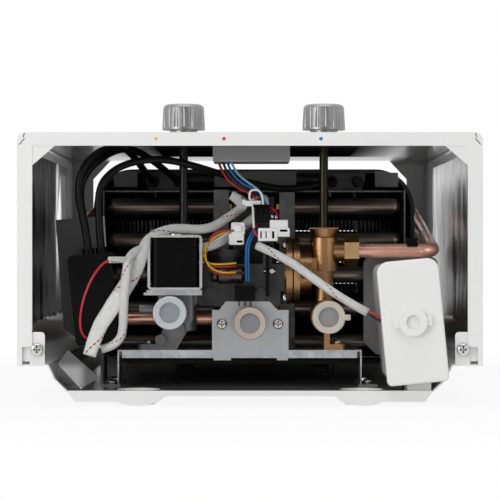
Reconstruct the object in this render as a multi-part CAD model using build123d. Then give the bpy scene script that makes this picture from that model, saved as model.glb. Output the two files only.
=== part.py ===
from build123d import *
import math
import os

# Portable propane water heater, in millimetres.
# X is across the casing, +Z is the way the front cover faces and Y runs from the service end to the flue
# end. The model is drawn with Y = 0 at the service end of the casing and Z = 0 where the back plate rests,
# and every node is moved at the end so that the origin is the centre of the footprint.

os.makedirs("parts", exist_ok=True)

# ---- Casing ----
CASE_WIDTH = 310.0
CASE_LENGTH = 430.0
FRONT_Z = 182.0
COVER_REAR_Z = 26.5
SHEET = 1.0
CORNER_RADIUS = 5.3
FRONT_FLANGE = 9.0
SIDE_FLANGE = 10.1
SERVICE_PROUD = 11.0
FLUE_PROUD = 11.0
FOIL = 0.4
SEAM_GAP = 0.1
FIT_GAP = 0.1
RUNNING_GAP = 0.05
SOFT_GAP = 0.3

HALF_WIDTH = CASE_WIDTH / 2
INNER_WIDTH = HALF_WIDTH - SHEET
INNER_FRONT_Z = FRONT_Z - SHEET

RECESS_DEEP = 1.5
RECESS_CORNER = 14.0
RECESS_WIDTH = CASE_WIDTH - 50
RECESS_START = 112.0
RECESS_END_INSET = 115.0
RECESS_LENGTH = CASE_LENGTH - RECESS_START - RECESS_END_INSET
RECESS_MIDDLE = RECESS_START + RECESS_LENGTH / 2
OPENING_HALF = HALF_WIDTH - 19
OPENING_LOW_Z = 44.0
OPENING_CHAMFER = 15.0
GUSSET_WIDTH = 15.0
GUSSET_HEIGHT = 13.0
NOTCH_RIM = 3.4
NOTCH_HEIGHT = 12.5

# ---- Back plate ----
FLOOR_Z = 10.0
FLOOR_HALF = 122.0
WALL_HALF = 130.3
WALL_Z = 17.2
FLANGE_HALF = 135.0
CUP_X = 75.0
CUP_INSET = 18.0
CUP_RADIUS = 16.0
CUP_FOOT_RADIUS = 11.0
WALL_HOLE_RADIUS = 3.0
TAB_X = 141.6
TAB_HALF = 5.0
TAB_TOP_Z = 49.0
TAB_CORNER = 2.5
FLAP_DEPTH = 26.0

# ---- Screws ----
SCREW_RADIUS = 2.0
SCREW_HEAD_RADIUS = 4.1
SCREW_HEAD = 2.6
SCREW_LENGTH = 9.0
SMALL_HEAD = 3.6
SHORT_SCREW = 6.0
TINY_HEAD = 3.2
SOLENOID_SCREW = 8.0
TAB_SCREW_Z = 37.4

# ---- Spindles and knobs ----
SPINDLE_Y = 56.0
GAS_SPINDLE_X = -45.9
WATER_SPINDLE_X = 51.0
SPINDLE_RADIUS = 3.0
SPINDLE_HOLE_RADIUS = 4.5
KNOB_RADIUS = 14.8
KNOB_TOP_RADIUS = 13.9
KNOB_HEIGHT = 17.6
KNOB_COLLAR_RADIUS = 9.5
KNOB_COLLAR = 4.8
KNOB_LIFT = 0.4
KNOB_BORE = 12.0
KNOB_FLUTES = 18
SPINDLE_FLAT = 2.0
SPINDLE_ROOT_Z = 96.0
SPINDLE_TOP_Z = FRONT_Z + 11.5
FLUTE_RADIUS = 2.1

# ---- Pipe connections, threads G 1/2 ----
THREAD_RADIUS = 10.48
THREAD_HEIGHT = 1.18
THREAD_ROOT = THREAD_RADIUS - THREAD_HEIGHT
THREAD_LENGTH = 13.0
THREAD_PITCH = 1.814
PORT_RADIUS = 7.0
INLET_RADIUS = 11.4
CAP_WALL = 0.5
CAP_DEPTH = 12.0
CAP_FACE = 1.2
GAS_X = -53.2
GAS_Z = 61.9
GAS_TIP_Y = -7.0
HOT_X = 0.0
HOT_Z = 53.5
HOT_TIP_Y = 31.0
COLD_X = 52.9
COLD_Z = 58.4
COLD_TIP_Y = 10.0
PIPE_RADIUS = 4.75
PIPE_WALL = 0.8

# ---- Chassis rail and outlet plate ----
RAIL_Y = 50.0
RAIL_DEPTH = 35.0
RAIL_TOP_Z = 34.7
RAIL_LIP = 5.5
RAIL_LEFT_X = -90.2
RAIL_RIGHT_X = 75.9
RAIL_SHEET = 1.0
FOOT_WIDTH = 12.0
FOOT_LENGTH = 60.0
PLATE_Y = RAIL_Y - 1.2
PLATE_LEFT_X = -26.1
PLATE_RIGHT_X = 26.5
PLATE_TOP_Z = 68.2
PLATE_SHOULDER_Z = 62.3
PLATE_SCREW_X = 19.3
PLATE_SCREW_Z = 52.6
VALVE_FOOT = 4.0
GAS_FOOT = (-70.0, 64.0)
WATER_FOOT = (60.2, 60.0)

# ---- Solenoid ----
SOLENOID_X = -50.2
SOLENOID_Y = 19.5
SOLENOID_WIDTH = 36.4
SOLENOID_TOP_Z = 113.7
SOLENOID_BOTTOM_Z = 76.8
SOLENOID_SHEET = 1.7
SOLENOID_DEPTH = 27.0
COIL_DEPTH = 26.0
COIL_CORNER = 4.0
COIL_STEP = 0.5
PLUNGER_RADIUS = 4.5
PLUNGER_TRAVEL = 3.0
VALVE_FLANGE = 3.4
BOBBIN_CHEEK = 1.5
GAS_FLANGE_SCREW_X = -38.5
GAS_FLANGE_SCREW_Y = 36.6
COCK_RADIUS = 9.0
COCK_TOP_Z = 117.0
COCK_LOW_Z = 48.0
GAS_BODY_Y = (12.0, 60.0)
GAS_LEG = 6.0

# ---- Water valve ----
ROD_Z = 89.1
ROD_RADIUS = 3.0
ROD_TRAVEL = 3.0
DIAPHRAGM_X = 30.0
DIAPHRAGM_RADIUS = 22.8
DIAPHRAGM_SHEET = 1.0
FLANGE_THICK = 4.2
COLD_PIPE_Z = 103.2
SPIGOT_RADIUS = 7.0
BARREL_RADIUS = 9.5
BARREL_TOP_Z = 112.0
BONNET_Z = 118.0
FLANGE_SCREW_REACH = 19.5
DRAIN_X = 36.5
DRAIN_Y = 32.0
DRAIN_RADIUS = 4.4
HOUSING_LEFT_X = -36.0
HOUSING_RIGHT_X = 24.0
HOUSING_LOW_Z = 65.2
HOUSING_TOP_Z = 94.0
ROD_LEFT_X = -10.0
PIN_X = 15.0
PIN_RADIUS = 1.5
LEVER_X = 12.0
LEVER_Y = 44.0
LEVER_PIVOT_Z = 105.1
LEVER_PIVOT_RADIUS = 1.5
LEVER_HUB = 3.4
SWITCH_X = -3.5
SWITCH_LOW_Z = 69.0
HOT_PIPE_Y = 72.0
HOT_PIPE_Z = HOT_Z + 2.5
CLIP_X = 112.0
CLIP_HALF = 3.7
CLIP_WALL = 1.2
CLIP_SEAT = 3.0
CLIP_TOP = 8.8
NUT_FLATS = 19.4
NUT_START_X = 65.0
NUT_LENGTH = 10.0

# ---- Combustion chamber, burners, heat exchanger and hood ----
CHAMBER_X = 3.0
CHAMBER_HALF = 116.0
CHAMBER_LOW_Z = 22.0
CHAMBER_TOP_Z = 161.0
CHAMBER_CORNER = 27.0
CHAMBER_WALL = 0.9
CHAMBER_Y = 150.0
CHAMBER_LENGTH = 180.0
BAR_ROWS = 5
BAR_PITCH = 24.5
BAR_LOW_Z = 37.0
BAR_RADIUS = 6.4
BAR_INNER = 29.5
BAR_OUTER = 107.5
BAR_Y = 125.0
BAR_DEPTH = 34.0
BAR_WALL = 0.7
FRAME_HALF = 109.0
FRAME_Y = 118.0
FRAME_DEPTH = 44.0
FACE_WIDTH = 11.0
MANIFOLD_HALF = 16.0
MANIFOLD_Y = 121.0
MANIFOLD_DEPTH = 20.0
NOZZLE_RADIUS = 3.2
FEED_Z = 79.0
HOUSING_END_Y = 85.0
CERAMIC_RADIUS = 2.5
PORT_COLLAR = 4.0
FIN_PITCH = 3.2
FIN_THICK = 0.5
FIN_Y = 296.0
FIN_DEPTH = 30.0
TUBE_RADIUS = 6.0
TUBE_WALL = 0.8
TUBE_Y = 311.0
HOOD_OVERLAP = 8.0
OUTLET_HALF = 88.0
OUTLET_LOW_Z = 52.0
OUTLET_TOP_Z = 134.0
OUTLET_CORNER = 8.0
LOUVRES = 9
LOUVRE_DEPTH = 5.0
LOUVRE_GAP = 0.35

# ---- Igniter and its bracket ----
IGNITER_X = -105.5
IGNITER_Z = 70.5
IGNITER_WIDTH = 30.0
IGNITER_HEIGHT = 61.0
IGNITER_Y = 20.0
IGNITER_TILT = -6.0
BRACKET_Y = 62.0
BRACKET_SHEET = 1.0
BRACKET_REACH = 22.0
LEFT_BRACKET_X = (-135.0, -97.8)
LEFT_BRACKET_Z = (40.3, 124.5)
RIGHT_BRACKET_X = (80.0, 132.4)
RIGHT_BRACKET_Z = (30.0, 98.6)
IGNITER_PORTS = ((-1.0, 29.0), (-1.5, 40.0), (7.5, 34.5))
LEAD_RADIUS = 2.5
BOOT_RADIUS = 4.2
BOOT_Y = 126.0
BOOT_LENGTH = 20.0

# ---- Battery box: two D cells side by side ----
BATTERY_X = 107.8
BATTERY_Z = 56.0
BATTERY_TILT = 5.5
LID_WIDTH = 41.2
LID_HEIGHT = 82.4
LID_THICK = 5.0
LID_Y = -7.0
GASKET = 1.0
CASE_SHRINK = 1.6
BATTERY_BRACKET_Y = 84.0
CELL_RADIUS = 17.1
CELL_LENGTH = 61.5
CELL_SPREAD = 20.8
LOCK_RADIUS = 9.3
LOCK_RECESS = 4.7
LOCK_HEIGHT = SERVICE_PROUD + LID_Y
LOCK_WING = 12.6
LOCK_WING_HALF = 3.2
LOCK_SHAFT_RADIUS = 2.2
LOCK_SHAFT_LENGTH = 26.0

# ---- Display ----
DISPLAY_X = 1.0
DISPLAY_WIDTH = 53.5
DISPLAY_Y = 60.0
DISPLAY_LENGTH = 36.0
DISPLAY_DEPTH = 16.4
WINDOW_WIDTH = 32.0
WINDOW_LENGTH = 20.0

# ---- Carry handle ----
HANDLE_HALF = 42.0
HANDLE_REACH = 58.0
HANDLE_WIRE = 2.5
HANDLE_Y = 419.0
HANDLE_Z = 3.4
HANDLE_BEND = 12.0
HANDLE_EAR = 3.0

# ---- Soft leads ----
SLEEVE_RADIUS = 3.6
THIN_SLEEVE_RADIUS = 2.85
WIRE_RADIUS = 0.9
BRANCH_RADIUS = 2.2
ARC_SHARE = 0.45


def block(x, y, z):
    """Box between two limits on each axis."""
    box = Box(x[1] - x[0], y[1] - y[0], z[1] - z[0])
    return Pos((x[0] + x[1]) / 2, (y[0] + y[1]) / 2, (z[0] + z[1]) / 2) * box


def rod(start, end, radius, end_radius=None):
    """Cylinder or cone from one point to another."""
    along = Vector(*end) - Vector(*start)
    base = (Align.CENTER, Align.CENTER, Align.MIN)
    if end_radius is None:
        shape = Cylinder(radius, along.length, align=base)
    else:
        shape = Cone(radius, end_radius, along.length, align=base)
    return Plane(origin=Vector(*start), z_dir=along) * shape


def hexagon(start, end, flats):
    """Hexagonal prism from one point to another, a flat width across."""
    along = Vector(*end) - Vector(*start)
    face = Plane(origin=Vector(*start), z_dir=along) * RegularPolygon(flats / 2, 6, major_radius=False)
    return extrude(face, amount=along.length)


def upright(points, y):
    """Plate whose outline is a list of (x, z) points, between two values of y."""
    face = make_face(Polyline(*[(px, y[0], pz) for px, pz in points], close=True))
    return extrude(face, amount=y[1] - y[0], dir=(0, 1, 0))


def lengthways(points, x):
    """Plate whose outline is a list of (y, z) points, between two values of x."""
    face = make_face(Polyline(*[(x[0], py, pz) for py, pz in points], close=True))
    return extrude(face, amount=x[1] - x[0], dir=(1, 0, 0))


def rounded(x, z, y, radius):
    """Prism along y with a rounded rectangle for its section."""
    plane = Plane(origin=((x[0] + x[1]) / 2, y[0], (z[0] + z[1]) / 2), x_dir=(1, 0, 0), z_dir=(0, 1, 0))
    return extrude(plane * RectangleRounded(x[1] - x[0], z[1] - z[0], radius), amount=y[1] - y[0])


def folded(points, thickness, y):
    """Sheet bent along a line of (x, z) points, its thickness on the left of the line, between two y."""
    steps = list(zip(points, points[1:]))
    normals = []
    for (ax, az), (bx, bz) in steps:
        length = math.hypot(bx - ax, bz - az)
        normals.append((-(bz - az) / length, (bx - ax) / length))
    pairs = zip([normals[0]] + normals, normals + [normals[-1]])
    far_side = []
    for (px, pz), ((ax, az), (bx, bz)) in zip(points, pairs):
        share = thickness / (1 + ax * bx + az * bz)
        far_side.append((px + share * (ax + bx), pz + share * (az + bz)))
    return upright(points + far_side[::-1], y)


def soft_radii(points):
    """The radius at each inner point of a soft lead's route that its two runs leave room for."""
    radii = []
    for before, here, after in zip(points, points[1:], points[2:]):
        run_in = Vector(*here) - Vector(*before)
        run_out = Vector(*after) - Vector(*here)
        turn = math.radians(run_in.get_angle(run_out))
        radii.append(ARC_SHARE * min(run_in.length, run_out.length) / math.tan(turn / 2))
    return radii


def tube(points, radii, radius, bore=None):
    """Round tube or rod along straight runs joined by tangent arcs."""
    path = FilletPolyline(*points, radius=radii) if len(points) > 2 else Line(*points)
    start = Plane(origin=path @ 0, z_dir=path % 0)
    shape = sweep(start * Circle(radius), path=path)
    if bore:
        shape -= sweep(start * Circle(bore), path=path)
    return shape


def lead(points, radius):
    """Soft lead along a route of points."""
    return tube(points, soft_radii(points), radius)


def group(solids):
    """Separate solids held in one node."""
    return Compound([solid for part in solids for solid in part.solids()])


def pan_screw(place, direction, head_radius=SCREW_HEAD_RADIUS, length=SCREW_LENGTH):
    """Pan head screw with a cross recess. The place is under its head, the direction is out of the head."""
    base = (Align.CENTER, Align.CENTER, Align.MIN)
    head = Cylinder(head_radius, SCREW_HEAD, align=base)
    head = fillet(head.edges().group_by(Axis.Z)[-1], SCREW_HEAD * 0.6)
    slot = Box(head_radius * 1.15, head_radius * 0.24, SCREW_HEAD, align=base)
    recess = Pos(0, 0, SCREW_HEAD * 0.45) * (slot + Rot(0, 0, 90) * slot)
    shank = Pos(0, 0, -length) * Cylinder(SCREW_RADIUS, length, align=base)
    return Plane(origin=Vector(*place), z_dir=Vector(*direction)) * (head - recess + shank)


def thread(x, z, tip_y, root_y):
    """External pipe thread as rounded ridges, facing the service end, with its bore left to the caller."""
    shape = rod((x, tip_y, z), (x, root_y, z), THREAD_ROOT)
    ridges = int((THREAD_LENGTH - 1) / THREAD_PITCH)
    for step in range(ridges):
        start = tip_y + 0.8 + step * THREAD_PITCH
        middle = start + THREAD_PITCH / 2 - 0.1
        end = start + THREAD_PITCH - 0.2
        shape += rod((x, start, z), (x, middle, z), THREAD_ROOT, THREAD_RADIUS)
        shape += rod((x, middle, z), (x, end, z), THREAD_RADIUS, THREAD_ROOT)
    return shape


# ---- Casing ----

def softened(x, y, z, radius, open_y):
    """Box with rounded edges, except those at its open service end and open back."""
    shape = block(x, y, z)
    along = [edge for edge in shape.edges().filter_by(Axis.Y) if edge.center().Z > z[1] - 1]
    across = [edge for edge in shape.edges().filter_by(Axis.X)
              if edge.center().Z > z[1] - 1 and edge.center().Y > open_y]
    corners = [edge for edge in shape.edges().filter_by(Axis.Z) if edge.center().Y > open_y]
    return fillet(along + across + corners, radius)


def front_cover():
    """Pressed cover: front, two sides and the flue end, with return flanges at the service end."""
    outer = softened((-HALF_WIDTH, HALF_WIDTH), (0, CASE_LENGTH), (COVER_REAR_Z, FRONT_Z), CORNER_RADIUS, 2)
    inner = softened((-INNER_WIDTH, INNER_WIDTH), (SHEET, CASE_LENGTH - SHEET),
                     (COVER_REAR_Z - 1, INNER_FRONT_Z), CORNER_RADIUS - SHEET, 2)
    cover = outer - inner + recess_pad() - recess_cut()
    mouth_half = HALF_WIDTH - SIDE_FLANGE
    mouth_top = FRONT_Z - FRONT_FLANGE
    cover -= block((-mouth_half, mouth_half), (-1, SHEET + 0.5), (COVER_REAR_Z - 1, mouth_top))
    for side in (-1, 1):
        inner_x = side * (mouth_half - GUSSET_WIDTH)
        gusset = [(inner_x, mouth_top), (side * mouth_half, mouth_top - GUSSET_HEIGHT),
                  (side * (INNER_WIDTH + SHEET / 2), mouth_top - GUSSET_HEIGHT),
                  (side * (INNER_WIDTH + SHEET / 2), INNER_FRONT_Z - CORNER_RADIUS),
                  (inner_x, INNER_FRONT_Z - CORNER_RADIUS)]
        cover += upright(gusset, (SHEET / 2, 2 * SHEET))
        notch = sorted((side * (HALF_WIDTH - NOTCH_RIM), side * (mouth_half - 1)))
        cover -= block(notch, (-1, SHEET + 0.5), (COVER_REAR_Z - 1, COVER_REAR_Z + NOTCH_HEIGHT))
        cover += screw_lug(side)
        cover -= rod((side * TAB_X, -1, TAB_SCREW_Z), (side * TAB_X, CASE_LENGTH + 1, TAB_SCREW_Z),
                     SCREW_RADIUS + FIT_GAP)
    cover -= flue_opening()
    for x in (GAS_SPINDLE_X, WATER_SPINDLE_X):
        cover -= rod((x, SPINDLE_Y, FRONT_Z - 5), (x, SPINDLE_Y, FRONT_Z + 1), SPINDLE_HOLE_RADIUS)
    return cover - window_block(0, FRONT_Z - 5, FRONT_Z + 1)


def recess_cut():
    """The shallow field pressed into the front panel."""
    outline = RectangleRounded(RECESS_WIDTH, RECESS_LENGTH, RECESS_CORNER)
    field = Pos(0, RECESS_MIDDLE, FRONT_Z - RECESS_DEEP) * outline
    return extrude(field, amount=RECESS_DEEP + 1)


def recess_pad():
    """The same field's metal on the inner face of the front panel."""
    size = (RECESS_WIDTH + 2 * SHEET, RECESS_LENGTH + 2 * SHEET)
    outline = RectangleRounded(*size, RECESS_CORNER + SHEET)
    field = Pos(0, RECESS_MIDDLE, INNER_FRONT_Z - RECESS_DEEP) * outline
    return extrude(field, amount=RECESS_DEEP + SHEET / 2)


def screw_lug(side):
    """Lug inside the cover's side wall, behind the back plate's screw tab, at both ends."""
    x = sorted((side * (TAB_X - TAB_HALF), side * (INNER_WIDTH + SHEET / 2)))
    z = (COVER_REAR_Z + 3, TAB_TOP_Z - 3)
    first = 2 * SHEET + 2 * SEAM_GAP
    last = CASE_LENGTH - 2 * SHEET - 2 * SEAM_GAP
    return block(x, (first, first + SHEET), z) + block(x, (last - SHEET, last), z)


def flue_opening():
    """Opening in the flue end with chamfered upper corners, open up to the front panel."""
    half = OPENING_HALF
    outline = [(-half, OPENING_LOW_Z), (half, OPENING_LOW_Z), (half, INNER_FRONT_Z - OPENING_CHAMFER - 1),
               (half - OPENING_CHAMFER, INNER_FRONT_Z), (-half + OPENING_CHAMFER, INNER_FRONT_Z),
               (-half, INNER_FRONT_Z - OPENING_CHAMFER - 1)]
    return upright(outline, (CASE_LENGTH - CORNER_RADIUS - 1, CASE_LENGTH + 1))


def back_plate():
    """Pressed pan with side flanges, end skirts, four stamped cups and screw tabs."""
    low = FLOOR_Z - SHEET
    flange = (SHEET + SEAM_GAP, CASE_LENGTH - SHEET - SEAM_GAP)
    pan_line = [(-WALL_HALF, WALL_Z), (-FLOOR_HALF, low), (FLOOR_HALF, low), (WALL_HALF, WALL_Z)]
    plate = folded(pan_line, SHEET, (0, CASE_LENGTH))
    side_line = [(-INNER_WIDTH + SEAM_GAP, COVER_REAR_Z), (-FLANGE_HALF, COVER_REAR_Z), *pan_line,
                 (FLANGE_HALF, COVER_REAR_Z), (INNER_WIDTH - SEAM_GAP, COVER_REAR_Z)]
    plate += folded(side_line, SHEET, flange)
    plate += end_skirt((0, SHEET))
    plate += end_skirt((CASE_LENGTH - SHEET, CASE_LENGTH))
    end_wall = [(-FLOOR_HALF, low), (FLOOR_HALF, low), (WALL_HALF - SHEET, WALL_Z),
                (FLANGE_HALF - SHEET, OPENING_LOW_Z - 4), (-FLANGE_HALF + SHEET, OPENING_LOW_Z - 4),
                (-WALL_HALF + SHEET, WALL_Z)]
    plate += upright(end_wall, (flange[1] - SHEET, flange[1]))
    for side in (-1, 1):
        for middle in (flange[0] + SHEET / 2, flange[1] - SHEET / 2):
            tab = block((side * TAB_X - TAB_HALF, side * TAB_X + TAB_HALF),
                        (middle - SHEET / 2, middle + SHEET / 2), (COVER_REAR_Z, TAB_TOP_Z))
            upper = [edge for edge in tab.edges().filter_by(Axis.Y) if edge.center().Z > TAB_TOP_Z - 1]
            tab = fillet(upper, TAB_CORNER)
            hole = rod((side * TAB_X, middle - 2, TAB_SCREW_Z), (side * TAB_X, middle + 2, TAB_SCREW_Z),
                       SCREW_RADIUS + FIT_GAP)
            plate += tab
            plate -= hole
        for cup_y in (CUP_INSET, CASE_LENGTH - CUP_INSET):
            plate = stamped_cup(plate, side * CUP_X, cup_y)
        plate += handle_ear(side)
        plate -= handle_bore(side)
        corner = sorted((side * (INNER_WIDTH - CORNER_RADIUS + SHEET), side * HALF_WIDTH))
        plate -= block(corner, (CASE_LENGTH - CORNER_RADIUS, CASE_LENGTH), (WALL_Z + 2, TAB_TOP_Z))
    for x, y in foot_screw_places():
        plate -= rod((x, y, 0), (x, y, FLOOR_Z + 1), SCREW_RADIUS + FIT_GAP)
    return plate + corner_flap()


def end_skirt(y):
    """Skirt from the floor towards the wall, with a shaped lower edge and a bulge at each cup."""
    bulge_half, step_x, raised_z, band_z = 14.0, 56.0, 6.4, 2.6
    outer_x = FLOOR_HALF - 5.6
    half = [(0, FLOOR_Z), (FLOOR_HALF, FLOOR_Z), (outer_x, band_z), (CUP_X + bulge_half, band_z),
            (CUP_X - bulge_half, band_z), (step_x, raised_z), (0, raised_z)]
    skirt = upright(half, y) + upright([(-px, pz) for px, pz in half], y)
    bulge_radius = (bulge_half ** 2 + band_z ** 2) / (2 * band_z)
    for side in (-1, 1):
        centre = (side * CUP_X, y[0], bulge_radius)
        disc = rod(centre, (side * CUP_X, y[1], bulge_radius), bulge_radius)
        bulge_x = (side * CUP_X - bulge_half, side * CUP_X + bulge_half)
        skirt += disc & block(bulge_x, y, (0, FLOOR_Z - SHEET))
    return skirt


def stamped_cup(plate, x, y):
    """Round cup pressed out of the floor to the resting plane, with a hole for a wall screw."""
    deep = FLOOR_Z - SHEET
    plate += rod((x, y, 0), (x, y, deep), CUP_FOOT_RADIUS, CUP_RADIUS)
    plate -= rod((x, y, SHEET), (x, y, FLOOR_Z + 0.5), CUP_FOOT_RADIUS - SHEET, CUP_RADIUS - SHEET)
    plate -= rod((x, y, -1), (x, y, 2 * SHEET), WALL_HOLE_RADIUS)
    return plate


def corner_flap():
    """Folded flap that stands off the sloping left side at the service end."""
    outer_low, outer_high = (-FLOOR_HALF + 9.3, 11.2), (-WALL_HALF + 2.3, 27.8)
    inner_high, inner_low = (-WALL_HALF + 9.1, 37.1), (-FLOOR_HALF + 21.6, 18.8)
    face = upright([outer_low, outer_high, inner_high, inner_low], (SHEET, 2 * SHEET))
    web = upright([outer_low, outer_high, (outer_high[0] + 0.8, outer_high[1] + 0.8),
                   (outer_low[0] + 0.8, outer_low[1] + 0.8)], (SHEET, FLAP_DEPTH))
    wall_end, floor_end = (-WALL_HALF - 0.6, WALL_Z + 1.4), (-FLOOR_HALF - 0.2, FLOOR_Z - 0.6)
    foot = upright([outer_low, outer_high, wall_end, floor_end], (FLAP_DEPTH - SHEET, FLAP_DEPTH))
    return face + web + foot


def handle_ear(side):
    """Ear under the floor that carries one end of the carry handle."""
    x = side * (HANDLE_HALF + 8)
    half = HANDLE_EAR / 2
    return block((x - half, x + half), (HANDLE_Y - 5, HANDLE_Y + 5), (0.2, FLOOR_Z - SHEET / 2))


def handle_bore(side):
    """The ear's hole for the handle's end."""
    x = side * (HANDLE_HALF + 8)
    return rod((x - 3, HANDLE_Y, HANDLE_Z), (x + 3, HANDLE_Y, HANDLE_Z), HANDLE_WIRE + RUNNING_GAP)


def foil_liner(side):
    """Bright foil on the inner face of a side wall, with an uneven lower edge."""
    low = COVER_REAR_Z + 24
    edge = [(12, low + 12), (40, low + 4), (70, low + 9), (110, low), (170, low + 6), (240, low + 2)]
    outline = [*edge, (CASE_LENGTH - 60, low + 5), (CASE_LENGTH - 60, FRONT_Z - 14), (12, FRONT_Z - 14)]
    x = sorted((side * INNER_WIDTH, side * (INNER_WIDTH - FOIL)))
    return lengthways(outline, x)


def cover_screws():
    """Four screws through the back plate's tabs into the cover's lugs."""
    screws = []
    for side in (-1, 1):
        screws.append(pan_screw((side * TAB_X, -SEAM_GAP, TAB_SCREW_Z), (0, -1, 0)))
        screws.append(pan_screw((side * TAB_X, CASE_LENGTH + SEAM_GAP, TAB_SCREW_Z), (0, 1, 0)))
    return group(screws)


# ---- Chassis ----

def foot_screw_places():
    """The rail's floor screws, as (x, y)."""
    near, far = RAIL_Y + 12, RAIL_Y + FOOT_LENGTH - 12
    inset = (FOOT_WIDTH - RAIL_SHEET) / 2
    left, right = RAIL_LEFT_X - inset, RAIL_RIGHT_X + inset
    return [(left, near), (left, far), (right, near), (right, far)]


def chassis_rail():
    """Galvanised bridge across the floor, with turned-down lips, two legs and feet."""
    under = RAIL_TOP_Z - RAIL_SHEET
    line = [(RAIL_LEFT_X - FOOT_WIDTH, FLOOR_Z), (RAIL_LEFT_X, FLOOR_Z), (RAIL_LEFT_X, under),
            (RAIL_RIGHT_X, under), (RAIL_RIGHT_X, FLOOR_Z), (RAIL_RIGHT_X + FOOT_WIDTH, FLOOR_Z)]
    rail = folded(line, RAIL_SHEET, (RAIL_Y, RAIL_Y + RAIL_DEPTH))
    for side, x in ((-1, RAIL_LEFT_X), (1, RAIL_RIGHT_X)):
        foot = sorted((x - side * RAIL_SHEET, x + side * FOOT_WIDTH))
        rail += block(foot, (RAIL_Y, RAIL_Y + FOOT_LENGTH), (FLOOR_Z, FLOOR_Z + RAIL_SHEET))
    for y in (RAIL_Y, RAIL_Y + RAIL_DEPTH - RAIL_SHEET):
        lip_x = (RAIL_LEFT_X + 2, RAIL_RIGHT_X - 2)
        rail += block(lip_x, (y, y + RAIL_SHEET), (RAIL_TOP_Z - RAIL_LIP, RAIL_TOP_Z))
    for x, y in foot_screw_places():
        rail -= rod((x, y, FLOOR_Z - 1), (x, y, FLOOR_Z + 3), SCREW_RADIUS + FIT_GAP)
    for x, y in (GAS_FOOT, WATER_FOOT):
        rail -= rod((x, y, under - 2), (x, y, RAIL_TOP_Z + 1), SCREW_RADIUS + FIT_GAP)
    return rail


def outlet_plate():
    """Zinc-plated sheet in front of the rail that carries the hot outlet."""
    outline = [(PLATE_LEFT_X, RAIL_TOP_Z - 4), (PLATE_RIGHT_X, RAIL_TOP_Z - 4),
               (PLATE_RIGHT_X, PLATE_SHOULDER_Z), (PLATE_RIGHT_X - 7.5, PLATE_SHOULDER_Z),
               (PLATE_RIGHT_X - 13, PLATE_TOP_Z),
               (PLATE_LEFT_X + 9.5, PLATE_TOP_Z), (PLATE_LEFT_X + 4.8, PLATE_SHOULDER_Z),
               (PLATE_LEFT_X, PLATE_SHOULDER_Z)]
    plate = upright(outline, (PLATE_Y, RAIL_Y))
    for x in ((PLATE_LEFT_X + 1, PLATE_LEFT_X + 13), (PLATE_RIGHT_X - 8, PLATE_RIGHT_X - 0.5)):
        plate += block(x, (PLATE_Y, RAIL_Y), (RAIL_TOP_Z - RAIL_LIP - 1.5, RAIL_TOP_Z - 3))
    plate -= rod((HOT_X, PLATE_Y - 1, HOT_Z), (HOT_X, RAIL_Y + 1, HOT_Z), THREAD_RADIUS + FIT_GAP)
    for side in (-1, 1):
        x = side * PLATE_SCREW_X
        plate -= rod((x, PLATE_Y - 1, PLATE_SCREW_Z), (x, RAIL_Y + 1, PLATE_SCREW_Z), SCREW_RADIUS + FIT_GAP)
    return plate


def frame_screws():
    """Screws of the rail's feet, the outlet plate, the two valve feet and the solenoid's flange."""
    screws = [pan_screw((x, y, FLOOR_Z + RAIL_SHEET), (0, 0, 1), SMALL_HEAD, SHORT_SCREW)
              for x, y in foot_screw_places()]
    for side in (-1, 1):
        screws.append(pan_screw((side * PLATE_SCREW_X, PLATE_Y, PLATE_SCREW_Z), (0, -1, 0), SMALL_HEAD))
    for x, y in (GAS_FOOT, WATER_FOOT):
        screws.append(pan_screw((x, y, RAIL_TOP_Z + VALVE_FOOT), (0, 0, 1), SMALL_HEAD))
    flange_screw = (GAS_FLANGE_SCREW_X, GAS_FLANGE_SCREW_Y, SOLENOID_BOTTOM_Z)
    screws.append(pan_screw(flange_screw, (0, 0, 1), TINY_HEAD, SOLENOID_SCREW))
    return group(screws)


def left_bracket():
    """Plate behind the igniter, with a flange back to the burner frame."""
    left, right = LEFT_BRACKET_X
    low, top = LEFT_BRACKET_Z
    outline = [(left, top), (-119.5, top + 1.2), (-101.6, top + 2.8), (right, 72.3), (right, low + 1.7),
               (-118.3, low), (-129.4, low + 9)]
    plate = upright(outline, (BRACKET_Y, BRACKET_Y + BRACKET_SHEET))
    x = CHAMBER_X - FRAME_HALF
    return plate + block((x - BRACKET_SHEET, x), (BRACKET_Y, FRAME_Y + BRACKET_REACH), (74, 120))


def right_bracket():
    """Plate behind the battery box, with rounded upper corners and a flange back to the burner frame."""
    left, right = RIGHT_BRACKET_X
    low, top = RIGHT_BRACKET_Z
    plate = block((left, right), (BATTERY_BRACKET_Y, BATTERY_BRACKET_Y + BRACKET_SHEET), (low, top))
    upper = [edge for edge in plate.edges().filter_by(Axis.Y) if edge.center().Z > top - 1]
    plate = fillet(upper, 5)
    lower = [edge for edge in plate.edges().filter_by(Axis.Y)
             if edge.center().Z < low + 1 and edge.center().X < (left + right) / 2]
    plate = chamfer(lower, 9)
    x = CHAMBER_X + FRAME_HALF
    flange_y = (BATTERY_BRACKET_Y, FRAME_Y + BRACKET_REACH)
    return plate + block((x, x + BRACKET_SHEET), flange_y, (low + 10, top - 8.6))


# ---- Burner, combustion chamber, heat exchanger and hood ----

def bar_rows():
    """Height of each row of burner bars and of the heat exchanger's tubes."""
    return [BAR_LOW_Z + row * BAR_PITCH for row in range(BAR_ROWS)]


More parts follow.
